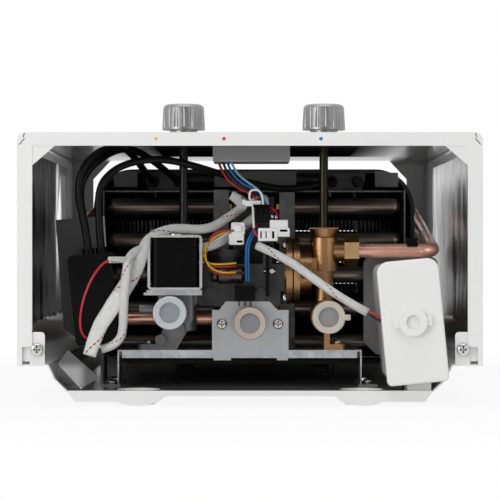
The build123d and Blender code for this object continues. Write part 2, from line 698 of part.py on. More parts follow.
def bar_shape(side, z, shrink):
    """Round-ended burner bar with a flat blade behind it, or its hollow when shrunk."""
    radius = BAR_RADIUS - shrink
    inner_x = CHAMBER_X + side * (BAR_INNER + shrink)
    outer_x = CHAMBER_X + side * (BAR_OUTER - BAR_RADIUS)
    middle_y = BAR_Y + BAR_RADIUS
    shape = rod((inner_x, middle_y, z), (outer_x, middle_y, z), radius)
    shape += Pos(outer_x, middle_y, z) * Sphere(radius)
    blade_x = sorted((inner_x, outer_x))
    blade_half = BAR_RADIUS * 0.62 - shrink
    shape += block(blade_x, (middle_y, BAR_Y + BAR_DEPTH - shrink), (z - blade_half, z + blade_half))
    return shape


def burner_bars():
    """Bars on both sides of the manifold, each pressed from sheet with a seam along its middle."""
    bars = []
    for z in bar_rows():
        for side in (-1, 1):
            bar = bar_shape(side, z, 0) - bar_shape(side, z, BAR_WALL)
            inner_x = CHAMBER_X + side * BAR_INNER
            mouth = rod((inner_x - side, BAR_Y + BAR_RADIUS, z), (inner_x + side * 2, BAR_Y + BAR_RADIUS, z),
                        NOZZLE_RADIUS + 1.2)
            seam_x = sorted((inner_x, CHAMBER_X + side * (BAR_OUTER - BAR_RADIUS)))
            seam = block(seam_x, (BAR_Y - 0.5, BAR_Y + 0.4), (z - 0.5, z + 0.5))
            slot_x = sorted((inner_x + side * 6, CHAMBER_X + side * (BAR_OUTER - 2 * BAR_RADIUS)))
            port = block(slot_x, (BAR_Y + BAR_DEPTH - 2, BAR_Y + BAR_DEPTH + 1), (z - 0.8, z + 0.8))
            bars.append(bar - mouth + seam - port)
    return group(bars)


def burner_frame():
    """Frame of sheet plates that carries the bars and stands on the floor."""
    front = (FRAME_Y, CHAMBER_Y - 2)
    inside = (CHAMBER_Y - 2, FRAME_Y + FRAME_DEPTH)
    low, high = BAR_LOW_Z - 12, CHAMBER_TOP_Z - 14
    cross_y = (CHAMBER_Y - 10, CHAMBER_Y - 2)
    frame = block((CHAMBER_X - BAR_INNER, CHAMBER_X + BAR_INNER), cross_y, (low, low + SHEET))
    frame += block((CHAMBER_X - BAR_INNER, CHAMBER_X + BAR_INNER), cross_y, (high - SHEET, high))
    for side in (-1, 1):
        x = CHAMBER_X + side * FRAME_HALF
        inner = CHAMBER_X + side * (BAR_INNER - SOFT_GAP)
        end_sheet = sorted((x, x - side * SHEET))
        inner_sheet = sorted((inner, inner - side * SHEET))
        frame += block(end_sheet, front, (FLOOR_Z, high))
        frame += block(end_sheet, inside, (CHAMBER_LOW_Z + 12, high))
        frame += block(sorted((x, x - side * FOOT_WIDTH)), front, (FLOOR_Z, FLOOR_Z + SHEET))
        frame += block(inner_sheet, (FRAME_Y, inside[1]), (low, high))
        frame += block(sorted((inner, inner - side * FACE_WIDTH)), (FRAME_Y, FRAME_Y + SHEET), (low, high))
        for z in (low, high - SHEET):
            frame += block(sorted((x, inner)), cross_y, (z, z + SHEET))
        for z in bar_rows():
            frame -= rod((inner - side * 3, BAR_Y + BAR_RADIUS, z), (inner + side * 2, BAR_Y + BAR_RADIUS, z),
                         NOZZLE_RADIUS + 1.5)
    return frame


def gas_manifold():
    """Gas box between the two rows of bars, fed by a stub from the linkage housing."""
    low, high = BAR_LOW_Z - 7, BAR_LOW_Z + (BAR_ROWS - 1) * BAR_PITCH + 7
    box = block((CHAMBER_X - MANIFOLD_HALF, CHAMBER_X + MANIFOLD_HALF),
                (MANIFOLD_Y, MANIFOLD_Y + MANIFOLD_DEPTH), (low, high))
    box = fillet(box.edges().filter_by(Axis.Z), 3)
    box += rod((CHAMBER_X, HOUSING_END_Y, FEED_Z), (CHAMBER_X, MANIFOLD_Y + 1, FEED_Z), 9)
    y = BAR_Y + BAR_RADIUS
    reach = MANIFOLD_HALF + 1
    for z in bar_rows():
        box -= rod((CHAMBER_X - reach, y, z), (CHAMBER_X + reach, y, z), NOZZLE_RADIUS - 1)
    return box


def gas_nozzles():
    """Brass jets that point from the manifold into the bars."""
    jets = []
    for z in bar_rows():
        for side in (-1, 1):
            y = BAR_Y + BAR_RADIUS
            root = CHAMBER_X + side * MANIFOLD_HALF
            tip = CHAMBER_X + side * (BAR_INNER - 1)
            jet = hexagon((root, y, z), (root + side * 4, y, z), 2 * NOZZLE_RADIUS)
            jet += rod((root + side * 4, y, z), (tip, y, z), NOZZLE_RADIUS - 0.6, NOZZLE_RADIUS - 1.6)
            jets.append(jet - rod((root - side, y, z), (tip + side, y, z), 0.5))
    return group(jets)


def combustion_chamber():
    """Rounded sheet duct round the flames, with mouth tabs and feet, open at both ends."""
    x = (CHAMBER_X - CHAMBER_HALF, CHAMBER_X + CHAMBER_HALF)
    y = (CHAMBER_Y, CHAMBER_Y + CHAMBER_LENGTH)
    duct = rounded(x, (CHAMBER_LOW_Z, CHAMBER_TOP_Z), y, CHAMBER_CORNER)
    duct += rounded((x[0] - 2, x[1] + 2), (CHAMBER_LOW_Z - 2, CHAMBER_TOP_Z + 2), (y[0], y[0] + 1.2),
                    CHAMBER_CORNER + 2)
    wall = CHAMBER_WALL
    duct -= rounded((x[0] + wall, x[1] - wall), (CHAMBER_LOW_Z + wall, CHAMBER_TOP_Z - wall),
                    (y[0] - 1, y[1] + 1), CHAMBER_CORNER - wall)
    tabs = [(x[0] + 13, x[0] + 30), (x[1] - 27, x[1] - 10), (CHAMBER_X - 29, CHAMBER_X + 31)]
    for tab in tabs:
        duct += block(tab, (y[0], y[0] + 1.2), (CHAMBER_TOP_Z - 11, CHAMBER_TOP_Z - wall / 2))
    for foot_y in (y[0] + 40, y[1] - 40):
        for side in (-1, 1):
            foot_x = CHAMBER_X + side * 60
            line = [(foot_x - side * 12, FLOOR_Z), (foot_x, FLOOR_Z), (foot_x, CHAMBER_LOW_Z - SHEET / 2)]
            foot = folded(line if side > 0 else line[::-1], SHEET, (foot_y, foot_y + 14))
            pad_z = (CHAMBER_LOW_Z - SHEET, CHAMBER_LOW_Z + wall / 2)
            duct += foot + block((foot_x - 3, foot_x + 3), (foot_y, foot_y + 14), pad_z)
    for z in bar_rows():
        duct -= rod((x[0] - 5, TUBE_Y, z), (x[1] + 5, TUBE_Y, z), TUBE_RADIUS + FIT_GAP)
    return duct


def heat_exchanger_fins():
    """Comb of thin fins across the chamber, pierced by the tube's five runs."""
    inset = CHAMBER_WALL + SEAM_GAP
    x = (CHAMBER_X - CHAMBER_HALF + inset, CHAMBER_X + CHAMBER_HALF - inset)
    z = (CHAMBER_LOW_Z + inset, CHAMBER_TOP_Z - inset)
    y = (FIN_Y, FIN_Y + FIN_DEPTH)
    envelope = rounded(x, z, y, CHAMBER_CORNER - inset)
    count = int((x[1] - x[0] - 2) / FIN_PITCH)
    first = (x[0] + x[1]) / 2 - count * FIN_PITCH / 2
    fins = [block((first + n * FIN_PITCH - FIN_THICK / 2, first + n * FIN_PITCH + FIN_THICK / 2), y, z)
            for n in range(count + 1)]
    collars = [block(x, (TUBE_Y - 7.6, TUBE_Y + 7.6), (row - 7.6, row + 7.6)) for row in bar_rows()]
    comb = fins[0] + fins[1:] + collars
    comb = comb & envelope
    for row in bar_rows():
        comb -= rod((x[0] - 1, TUBE_Y, row), (x[1] + 1, TUBE_Y, row), TUBE_RADIUS + RUNNING_GAP)
    return comb


def heat_exchanger_tube():
    """Five runs through the fins joined by return bends outside the chamber."""
    left = CHAMBER_X - CHAMBER_HALF - 4
    right = CHAMBER_X + CHAMBER_HALF + 4
    rows = bar_rows()
    points = [(left, TUBE_Y, rows[0])]
    for number, (low, high) in enumerate(zip(rows, rows[1:])):
        x = (right if number % 2 == 0 else left) + (1 if number % 2 == 0 else -1) * BAR_PITCH / 2
        points += [(x, TUBE_Y, low), (x, TUBE_Y, high)]
    points.append((right, TUBE_Y, rows[-1]))
    radii = [BAR_PITCH / 2 - 0.01] * (len(points) - 2)
    return tube(points, radii, TUBE_RADIUS, TUBE_RADIUS - TUBE_WALL)


def flue_hood():
    """Draught hood from the chamber to the flue outlet, with slanted louvres in the outlet."""
    gap = SEAM_GAP
    start = CHAMBER_Y + CHAMBER_LENGTH - HOOD_OVERLAP
    end = CASE_LENGTH + FLUE_PROUD
    neck = CASE_LENGTH - 40
    x = (CHAMBER_X - CHAMBER_HALF - gap, CHAMBER_X + CHAMBER_HALF + gap)
    z = (CHAMBER_LOW_Z - gap, CHAMBER_TOP_Z + gap)

    def body(grow):
        base = rounded((x[0] - grow, x[1] + grow), (z[0] - grow, z[1] + grow), (start, neck),
                       CHAMBER_CORNER + grow)
        outlet_x = (CHAMBER_X - OUTLET_HALF - grow, CHAMBER_X + OUTLET_HALF + grow)
        outlet_z = (OUTLET_LOW_Z - grow, OUTLET_TOP_Z + grow)
        return base + rounded(outlet_x, outlet_z, (neck - 1, end), OUTLET_CORNER + grow)

    hood = body(SHEET) - body(0)
    shoulder = rounded((x[0] - SHEET / 2, x[1] + SHEET / 2), (z[0] - SHEET / 2, z[1] + SHEET / 2),
                       (neck, neck + SHEET), CHAMBER_CORNER)
    shoulder -= rounded((CHAMBER_X - OUTLET_HALF, CHAMBER_X + OUTLET_HALF), (OUTLET_LOW_Z, OUTLET_TOP_Z),
                        (neck - 1, neck + 3), OUTLET_CORNER)
    hood += shoulder
    pitch = (OUTLET_TOP_Z - OUTLET_LOW_Z) / LOUVRES
    rise = pitch / 2 - LOUVRE_GAP
    louvre_x = (CHAMBER_X - OUTLET_HALF - SHEET / 2, CHAMBER_X + OUTLET_HALF + SHEET / 2)
    near, far = end - 1 - LOUVRE_DEPTH, end - 1
    for number in range(1, LOUVRES):
        z = OUTLET_LOW_Z + number * pitch
        blade = [(near, z + rise), (near + SHEET, z + rise), (far, z - rise), (far - SHEET, z - rise)]
        hood += lengthways(blade, louvre_x)
    return hood


def boot_places():
    """The electrode boots, as (x, z): two igniters on the left and the flame sensor's pair on the right."""
    z = CHAMBER_TOP_Z - 7.4
    return [(CHAMBER_X - 74.0, z), (CHAMBER_X - 55.2, z), (CHAMBER_X + 57.2, z), (CHAMBER_X + 75.8, z)]


def electrode_bracket():
    """Two small plates at the chamber's mouth that hold the electrodes."""
    plates = []
    places = boot_places()
    for pair in (places[:2], places[2:]):
        low_x, high_x = pair[0][0] - 6, pair[1][0] + 6
        top = CHAMBER_TOP_Z - CHAMBER_WALL - SEAM_GAP
        low, shoulder = pair[0][1] - 6, pair[0][1] + 2
        outline = [(low_x + 3, low), (high_x - 3, low), (high_x, shoulder), (high_x, top), (low_x, top),
                   (low_x, shoulder)]
        plate = upright(outline, (CHAMBER_Y + 2, CHAMBER_Y + 3.2))
        for x, z in pair:
            plate -= rod((x, CHAMBER_Y, z), (x, CHAMBER_Y + 5, z), CERAMIC_RADIUS + FIT_GAP)
        plate += block((low_x, high_x), (CHAMBER_Y + 2, CHAMBER_Y + 16), (top - SHEET, top))
        plates.append(plate)
    return group(plates)


def electrodes():
    """Ceramic rods with bent wire tips over the burner bars."""
    rods = []
    start = BOOT_Y + BOOT_LENGTH
    for x, z in boot_places():
        electrode = rod((x, start - 6, z), (x, CHAMBER_Y + 18, z), CERAMIC_RADIUS)
        tip = [(x, CHAMBER_Y + 17, z), (x, CHAMBER_Y + 30, z), (x, CHAMBER_Y + 34, z - 10)]
        rods.append(electrode + tube(tip, [2.5], 0.9))
    return group(rods)


def electrode_boots():
    """Rubber boots over the outer ends of the electrodes."""
    boots = []
    for x, z in boot_places():
        end = BOOT_Y + BOOT_LENGTH
        boot = rod((x, BOOT_Y, z), (x, end, z), BOOT_RADIUS - 1, BOOT_RADIUS)
        boots.append(boot - rod((x, end - 6, z), (x, end + 1, z), CERAMIC_RADIUS))
    return group(boots)


# ---- Ignition ----

def tilted(shape, x, z, degrees):
    """Shape turned in its own place about an axis along y."""
    return Pos(x, 0, z) * Rot(0, degrees, 0) * shape


def igniter_box():
    """Black pulse igniter with three lead ports on its upper edge."""
    half_w, half_h = IGNITER_WIDTH / 2, IGNITER_HEIGHT / 2
    box = block((-half_w, half_w), (IGNITER_Y, BRACKET_Y), (-half_h, half_h))
    box = fillet(box.edges().filter_by(Axis.Y), 3)
    box = fillet(box.faces().sort_by(Axis.Y)[0].edges(), 1)
    for x, y in IGNITER_PORTS:
        box += rod((x, y, half_h - 1), (x, y, half_h + PORT_COLLAR), LEAD_RADIUS + 1.4)
        box -= rod((x, y, half_h + 1), (x, y, half_h + PORT_COLLAR + 1), LEAD_RADIUS + FIT_GAP)
    return tilted(box, IGNITER_X, IGNITER_Z, IGNITER_TILT)


def igniter_port(number, height):
    """Point on the axis of one of the igniter's ports, a height above its upper edge."""
    x, y = IGNITER_PORTS[number]
    angle = math.radians(IGNITER_TILT)
    reach = IGNITER_HEIGHT / 2 + height
    return (IGNITER_X + x * math.cos(angle) + reach * math.sin(angle), y,
            IGNITER_Z - x * math.sin(angle) + reach * math.cos(angle))


def ignition_leads():
    """Three thick leads from the igniter to the electrode boots."""
    middles = [
        [(-117, 27, 141), (-115, 27, 157), (-105, 32, 170), (-92, 50, 175.5), (-84, 78, 173)],
        [(-117, 39, 141), (-113, 40, 156), (-101, 46, 168), (-88, 66, 175), (-75, 86, 172)],
        [(-104, 35, 146), (-93, 39, 159), (-77, 42, 165), (-58, 43, 166), (-38, 50, 161.5), (-20, 72, 156.5),
         (6, 86, 149), (30, 98, 146)],
    ]
    leads = []
    for number, ((x, z), middle) in enumerate(zip(boot_places(), middles)):
        start = [igniter_port(number, 1.2), igniter_port(number, 14)]
        finish = [(x, BOOT_Y - 12, z), (x, BOOT_Y, z)]
        leads.append(lead(start + middle + finish, LEAD_RADIUS))
    return group(leads)


# ---- Battery box ----

def battery_box(shape):
    """A shape drawn upright about the battery box's centre, leaned into place."""
    return tilted(shape, BATTERY_X, BATTERY_Z, -BATTERY_TILT)


def battery_case():
    """Case for two D cells, with a boss for the lock's shaft and a clip to the floor."""
    half_w, half_h = LID_WIDTH / 2 - CASE_SHRINK, LID_HEIGHT / 2 - CASE_SHRINK
    mouth = LID_Y + LID_THICK + GASKET
    case = rounded((-half_w, half_w), (-half_h, half_h), (mouth, BATTERY_BRACKET_Y), 5)
    for side in (-1, 1):
        case -= rod((0, mouth - 1, side * CELL_SPREAD), (0, mouth + 3 + CELL_LENGTH, side * CELL_SPREAD),
                    CELL_RADIUS + FIT_GAP)
    case -= rod((0, mouth - 1, 0), (0, mouth + LOCK_SHAFT_LENGTH, 0), LOCK_SHAFT_RADIUS + RUNNING_GAP)
    case = battery_box(case)
    clip = block((BATTERY_X - 3, BATTERY_X + 13), (mouth + 4, mouth + 26), (FLOOR_Z, FLOOR_Z + 8))
    room = rounded((-half_w + 1, half_w - 1), (-half_h + 1, half_h - 1), (mouth, BATTERY_BRACKET_Y), 5)
    return case + (clip - battery_box(room))


def battery_cells():
    """Two D cells with their raised poles towards the lid."""
    start = LID_Y + LID_THICK + GASKET + 2.5
    cells = []
    for side in (-1, 1):
        z = side * CELL_SPREAD
        cell = rod((0, start, z), (0, start + CELL_LENGTH - 1.5, z), CELL_RADIUS)
        cell = fillet(cell.edges(), 1)
        cells.append(battery_box(cell + rod((0, start - 1.5, z), (0, start + 0.5, z), 4.6)))
    return group(cells)


def battery_gasket():
    """Rubber seal between the battery case and its lid."""
    start = LID_Y + LID_THICK
    half_w, half_h = LID_WIDTH / 2 - CASE_SHRINK, LID_HEIGHT / 2 - CASE_SHRINK
    seal = rounded((-half_w, half_w), (-half_h, half_h), (start, start + GASKET), 5)
    for side in (-1, 1):
        z = side * CELL_SPREAD
        seal -= rod((0, start - 1, z), (0, start + GASKET + 1, z), CELL_RADIUS)
    return battery_box(seal - rod((0, start - 1, 0), (0, start + GASKET + 1, 0), LOCK_SHAFT_RADIUS + 1))


def battery_lid():
    """White lid with large upper corners and a hole for the lock's shaft."""
    half_w, half_h = LID_WIDTH / 2, LID_HEIGHT / 2
    lid = block((-half_w, half_w), (LID_Y, LID_Y + LID_THICK), (-half_h, half_h))
    lid = fillet([edge for edge in lid.edges().filter_by(Axis.Y) if edge.center().Z > 0], 8)
    lid = fillet([edge for edge in lid.edges().filter_by(Axis.Y) if edge.center().Z < -half_h + 1], 3.3)
    lid = fillet(lid.faces().sort_by(Axis.Y)[0].edges(), 1.6)
    hole = rod((0, LID_Y - 1, 0), (0, LID_Y + LID_THICK + 1, 0), LOCK_SHAFT_RADIUS + RUNNING_GAP)
    return battery_box(lid - hole)


def battery_lock_knob():
    """Quarter-turn lock: ring with a recess, two wings and a plain shaft."""
    front = LID_Y - LOCK_HEIGHT
    knob = rod((0, front, 0), (0, LID_Y, 0), LOCK_RADIUS)
    wing = rod((0, front + 1.4, 0), (0, LID_Y, 0), LOCK_WING)
    knob += wing & block((-LOCK_WING, LOCK_WING), (front, LID_Y), (-LOCK_WING_HALF, LOCK_WING_HALF))
    knob -= rod((0, front - 1, 0), (0, front + 2.4, 0), LOCK_RECESS)
    return battery_box(knob + rod((0, LID_Y - 1, 0), (0, LID_Y + LOCK_SHAFT_LENGTH, 0), LOCK_SHAFT_RADIUS))


# ---- Gas valve ----

def solenoid_frame():
    """Closed strip-steel frame round the coil, with holes for the core at both ends."""
    half = SOLENOID_WIDTH / 2
    y = (SOLENOID_Y - SOLENOID_DEPTH / 2, SOLENOID_Y + SOLENOID_DEPTH / 2)
    frame = rounded((SOLENOID_X - half, SOLENOID_X + half), (SOLENOID_BOTTOM_Z, SOLENOID_TOP_Z), y, 3)
    frame -= rounded((SOLENOID_X - half + SOLENOID_SHEET, SOLENOID_X + half - SOLENOID_SHEET),
                     (SOLENOID_BOTTOM_Z + SOLENOID_SHEET, SOLENOID_TOP_Z - SOLENOID_SHEET),
                     (y[0] - 1, y[1] + 1), SOFT_GAP)
    return frame - core_hole(SOLENOID_BOTTOM_Z, SOLENOID_TOP_Z)


def core_hole(low, high):
    """Room for the solenoid's core between two heights."""
    return rod((SOLENOID_X, SOLENOID_Y, low - 1), (SOLENOID_X, SOLENOID_Y, high + 1),
               PLUNGER_RADIUS + RUNNING_GAP)


def solenoid_coil():
    """Taped square winding with round corners, between the cheeks of its bobbin."""
    low, high = SOLENOID_BOTTOM_Z + SOLENOID_SHEET, SOLENOID_TOP_Z - SOLENOID_SHEET
    half_w, half_d = SOLENOID_WIDTH / 2 - SOLENOID_SHEET - SOFT_GAP, COIL_DEPTH / 2
    coil = block((SOLENOID_X - half_w + COIL_STEP, SOLENOID_X + half_w - COIL_STEP),
                 (SOLENOID_Y - half_d + COIL_STEP, SOLENOID_Y + half_d - COIL_STEP), (low, high))
    coil = fillet(coil.edges().filter_by(Axis.Z), COIL_CORNER)
    for z in (low, high - BOBBIN_CHEEK):
        cheek = block((SOLENOID_X - half_w, SOLENOID_X + half_w),
                      (SOLENOID_Y - half_d, SOLENOID_Y + half_d), (z, z + BOBBIN_CHEEK))
        coil += fillet(cheek.edges().filter_by(Axis.Z), COIL_CORNER)
    return coil - core_hole(low, high)


def solenoid_plunger():
    """Steel core that lifts inside the coil, with a button end above the frame."""
    low = SOLENOID_BOTTOM_Z + PLUNGER_TRAVEL
    high = SOLENOID_TOP_Z + 1.5
    core = rod((SOLENOID_X, SOLENOID_Y, low), (SOLENOID_X, SOLENOID_Y, high), PLUNGER_RADIUS)
    return chamfer(core.edges().group_by(Axis.Z)[-1], 0.8)


def solenoid_flange():
    """Two-layer mounting flange under the solenoid, screwed to the valve body."""
    y = (SOLENOID_Y - 15.5, SOLENOID_Y + 20.5)
    middle = SOLENOID_BOTTOM_Z - VALVE_FLANGE / 2
    flange = block((SOLENOID_X - 20.7, SOLENOID_X + 18.1), y, (SOLENOID_BOTTOM_Z - VALVE_FLANGE, middle))
    flange += block((SOLENOID_X - 18.7, SOLENOID_X + 18.1), y, (middle, SOLENOID_BOTTOM_Z))
    screw = (GAS_FLANGE_SCREW_X, GAS_FLANGE_SCREW_Y)
    return flange - rod((*screw, middle - 3), (*screw, middle + 3), SCREW_RADIUS + FIT_GAP)


def gas_valve_body():
    """Grey cast valve body: inlet, cock, leg and foot."""
    high = SOLENOID_BOTTOM_Z - VALVE_FLANGE
    body = block((-62, -38), GAS_BODY_Y, (55.3, high))
    body = fillet(body.edges().filter_by(Axis.Y) + body.edges().filter_by(Axis.Z), 2.4)
    body += block((-45, HOUSING_LEFT_X), (30, GAS_BODY_Y[1]), (high - 7, high))
    body += rod((GAS_X, GAS_TIP_Y + THREAD_LENGTH, GAS_Z), (GAS_X, RAIL_Y + GAS_LEG, GAS_Z), INLET_RADIUS)
    body += thread(GAS_X, GAS_Z, GAS_TIP_Y, GAS_TIP_Y + THREAD_LENGTH + 1)
    body += rod((GAS_SPINDLE_X, SPINDLE_Y, COCK_LOW_Z), (GAS_SPINDLE_X, SPINDLE_Y, COCK_TOP_Z), COCK_RADIUS)
    body += block((-68.5, -33.6), (SPINDLE_Y - 8, SPINDLE_Y + 8), (COCK_TOP_Z, COCK_TOP_Z + 1))
    body += rod((GAS_X, 20, 64.1), (-74.5, 20, 64.1), 3.2)
    body += rod((-49.2, 12.5, 50.4), (-49.2, 30, 50.4), 5.4)
    leg = [(-39.1, 54.9), (-50.8, RAIL_TOP_Z), (-63.8, RAIL_TOP_Z), (-63.8, 39.1), (-60, 49), (-39.1, 58)]
    body += upright(leg, (RAIL_Y, RAIL_Y + GAS_LEG))
    foot = block((-77.6, -50.8), (RAIL_Y, RAIL_Y + 24), (RAIL_TOP_Z, RAIL_TOP_Z + VALVE_FOOT))
    body += fillet(foot.edges().filter_by(Axis.Z), 3)
    body += hexagon((-61.5, 46, 41.8), (-61.5, 52, 41.8), 7)
    body -= rod((GAS_X, GAS_TIP_Y - 1, GAS_Z), (GAS_X, GAS_TIP_Y + 40, GAS_Z), PORT_RADIUS)
    body -= rod((*GAS_FOOT, RAIL_TOP_Z - 1), (*GAS_FOOT, RAIL_TOP_Z + VALVE_FOOT + 1), SCREW_RADIUS + FIT_GAP)
    spindle_bore = rod((GAS_SPINDLE_X, SPINDLE_Y, SPINDLE_ROOT_Z), (GAS_SPINDLE_X, SPINDLE_Y, COCK_TOP_Z + 2),
                       SPINDLE_RADIUS + RUNNING_GAP)
    screw = (GAS_FLANGE_SCREW_X, GAS_FLANGE_SCREW_Y)
    screw_hole = rod((*screw, high - 8), (*screw, high + 1), SCREW_RADIUS + FIT_GAP)
    return body - spindle_bore - screw_hole


def spindle(x, top_z):
    """Valve spindle with a flat on its upper end."""
    shaft = rod((x, SPINDLE_Y, SPINDLE_ROOT_Z + 0.5), (x, SPINDLE_Y, top_z), SPINDLE_RADIUS)
    flat = block((x + SPINDLE_FLAT, x + SPINDLE_RADIUS + 1), (SPINDLE_Y - 4, SPINDLE_Y + 4),
                 (FRONT_Z + 4, top_z + 1))
    return chamfer(shaft.edges().group_by(Axis.Z)[-1], 0.5) - flat


def knob(x):
    """Fluted knob with a domed top and a narrower collar, bored for the spindle's flat."""
    low = FRONT_Z + KNOB_LIFT
    collar = rod((x, SPINDLE_Y, low), (x, SPINDLE_Y, low + KNOB_COLLAR), KNOB_COLLAR_RADIUS)
    base = low + KNOB_COLLAR * 0.85
    grip = rod((x, SPINDLE_Y, base), (x, SPINDLE_Y, base + KNOB_HEIGHT), KNOB_RADIUS, KNOB_TOP_RADIUS)
    grip = fillet(grip.edges().group_by(Axis.Z)[-1], 3.2)
    for step in range(KNOB_FLUTES):
        angle = 2 * math.pi * (step + 0.5) / KNOB_FLUTES
        reach = KNOB_RADIUS + FLUTE_RADIUS * 0.55
        fx, fy = x + reach * math.cos(angle), SPINDLE_Y + reach * math.sin(angle)
        grip -= rod((fx, fy, base + 1.6), (fx, fy, base + KNOB_HEIGHT + 1), FLUTE_RADIUS)
    shape = grip + collar
    bore = rod((x, SPINDLE_Y, low - 1), (x, SPINDLE_Y, low + KNOB_BORE), SPINDLE_RADIUS + RUNNING_GAP)
    key = block((x + SPINDLE_FLAT + RUNNING_GAP, x + SPINDLE_RADIUS + 1), (SPINDLE_Y - 4, SPINDLE_Y + 4),
                (FRONT_Z + 4, low + KNOB_BORE))
    return shape - (bore - key)


def cap(x, z, tip_y, tab):
    """Push-on thread protector: a cup with a ring face and a plug set back inside the port."""
    front, end = tip_y - CAP_FACE, tip_y + CAP_DEPTH
    bore = THREAD_RADIUS + RUNNING_GAP
    plug = PORT_RADIUS - 2 * FIT_GAP
    shell = rod((x, front, z), (x, end, z), bore + CAP_WALL)
    shell -= rod((x, tip_y, z), (x, end + 1, z), bore)
    shell += rod((x, tip_y - 0.1, z), (x, tip_y + 1.5, z), plug)
    shell -= rod((x, front - 1, z), (x, tip_y + 0.3, z), plug - 0.6)
    if tab:
        shell += block((x + bore, x + bore + 4), (front, front + 3), (z - 2, z + 2))
    return shell


# ---- Water valve ----

def disc_x(x, radius):
    """Disc on the diaphragm's axis between two values of x."""
    return rod((x[0], SPINDLE_Y, ROD_Z), (x[1], SPINDLE_Y, ROD_Z), radius)


def flange_screw_places():
    """The diaphragm flange's screws, as (y, z)."""
    places = []
    for degrees in (70, 110, 250, 290):
        angle = math.radians(degrees)
        places.append((SPINDLE_Y + FLANGE_SCREW_REACH * math.cos(angle),
                       ROD_Z + FLANGE_SCREW_REACH * math.sin(angle)))
    return places


def flange_screw_holes(x):
    """Clearance holes for the flange's screws between two values of x."""
    holes = [rod((x[0], y, z), (x[1], y, z), SCREW_RADIUS + FIT_GAP) for y, z in flange_screw_places()]
    return holes[0] + holes[1:]


def water_valve_body():
    """Brass water valve: diaphragm chamber, barrel, bonnet plate, inlet, outlet, drain and foot."""
    back = DIAPHRAGM_X + FLANGE_THICK
    low_x, high_x = WATER_SPINDLE_X - 10.2, WATER_SPINDLE_X + 9.9
    body = disc_x((DIAPHRAGM_X, back), DIAPHRAGM_RADIUS) + disc_x((back - 1, back + 8), 16)
    barrel_x, barrel_y = WATER_SPINDLE_X, SPINDLE_Y
    body += rod((barrel_x, barrel_y, ROD_Z), (barrel_x, barrel_y, BARREL_TOP_Z), BARREL_RADIUS)
    body += rod((barrel_x, barrel_y, BARREL_TOP_Z), (barrel_x, barrel_y, BONNET_Z), 8, 10)
    body += block((low_x, high_x), (barrel_y - 10, barrel_y + 10), (BONNET_Z, BONNET_Z + 1))
    body += rod((barrel_x, barrel_y, COLD_Z), (barrel_x, barrel_y, ROD_Z + 5), 6.5)
    body += block((back + 1, barrel_x), (barrel_y - 8, barrel_y + 8), (ROD_Z - 9, ROD_Z + 9))
    body += rod((COLD_X, COLD_TIP_Y + THREAD_LENGTH, COLD_Z), (COLD_X, SPINDLE_Y + 9, COLD_Z), INLET_RADIUS)
    body += thread(COLD_X, COLD_Z, COLD_TIP_Y, COLD_TIP_Y + THREAD_LENGTH + 1)
    body += rod((barrel_x, barrel_y, COLD_PIPE_Z), (NUT_START_X, barrel_y, COLD_PIPE_Z), SPIGOT_RADIUS)
    drain_z = ROD_Z - 2.5
    body += rod((DRAIN_X, DRAIN_Y, drain_z), (DRAIN_X, barrel_y, drain_z), DRAIN_RADIUS)
    foot = block((50.5, 65.7), (RAIL_Y, RAIL_Y + 16), (RAIL_TOP_Z, RAIL_TOP_Z + VALVE_FOOT))
    body += fillet(foot.edges().filter_by(Axis.Z), 2.5)
    body += block((51, 55), (RAIL_Y, RAIL_Y + 12), (RAIL_TOP_Z, COLD_Z))
    body -= rod((COLD_X, COLD_TIP_Y - 1, COLD_Z), (COLD_X, COLD_TIP_Y + 40, COLD_Z), PORT_RADIUS)
    body -= rod((DRAIN_X, DRAIN_Y - 1, drain_z), (DRAIN_X, DRAIN_Y + 10, drain_z), DRAIN_RADIUS - 2)
    body -= disc_x((DIAPHRAGM_X - 1, back + 4), 13)
    body -= flange_screw_holes((DIAPHRAGM_X - 1, back + 9))
    foot_top = RAIL_TOP_Z + VALVE_FOOT
    body -= rod((*WATER_FOOT, RAIL_TOP_Z - 1), (*WATER_FOOT, foot_top + 1), SCREW_RADIUS + FIT_GAP)
    body -= rod((NUT_START_X - 6, barrel_y, COLD_PIPE_Z), (NUT_START_X + 1, barrel_y, COLD_PIPE_Z),
                PIPE_RADIUS - PIPE_WALL)
    return body - rod((barrel_x, barrel_y, SPINDLE_ROOT_Z), (barrel_x, barrel_y, BONNET_Z + 2),
                      SPINDLE_RADIUS + RUNNING_GAP)


def diaphragm_cover():
    """Cover of the diaphragm chamber, with a neck that meets the linkage housing."""
    end = DIAPHRAGM_X - DIAPHRAGM_SHEET
    cover = disc_x((end - FLANGE_THICK, end), DIAPHRAGM_RADIUS) + disc_x((HOUSING_RIGHT_X, end - 1), 9)
    cover -= disc_x((end - 1.8, end + 1), 16)
    cover -= disc_x((HOUSING_RIGHT_X - 1, end), ROD_RADIUS + RUNNING_GAP)
    return cover - flange_screw_holes((end - FLANGE_THICK - 1, end + 1))


def diaphragm():
    """Rubber diaphragm clamped between the valve body and its cover."""
    sheet = disc_x((DIAPHRAGM_X - DIAPHRAGM_SHEET, DIAPHRAGM_X), DIAPHRAGM_RADIUS - 0.3)
    return sheet - flange_screw_holes((DIAPHRAGM_X - 3, DIAPHRAGM_X + 2))


def diaphragm_screws():
    """Screws of the diaphragm flange."""
    start = DIAPHRAGM_X - DIAPHRAGM_SHEET - FLANGE_THICK
    return group([pan_screw((start, y, z), (-1, 0, 0), TINY_HEAD) for y, z in flange_screw_places()])


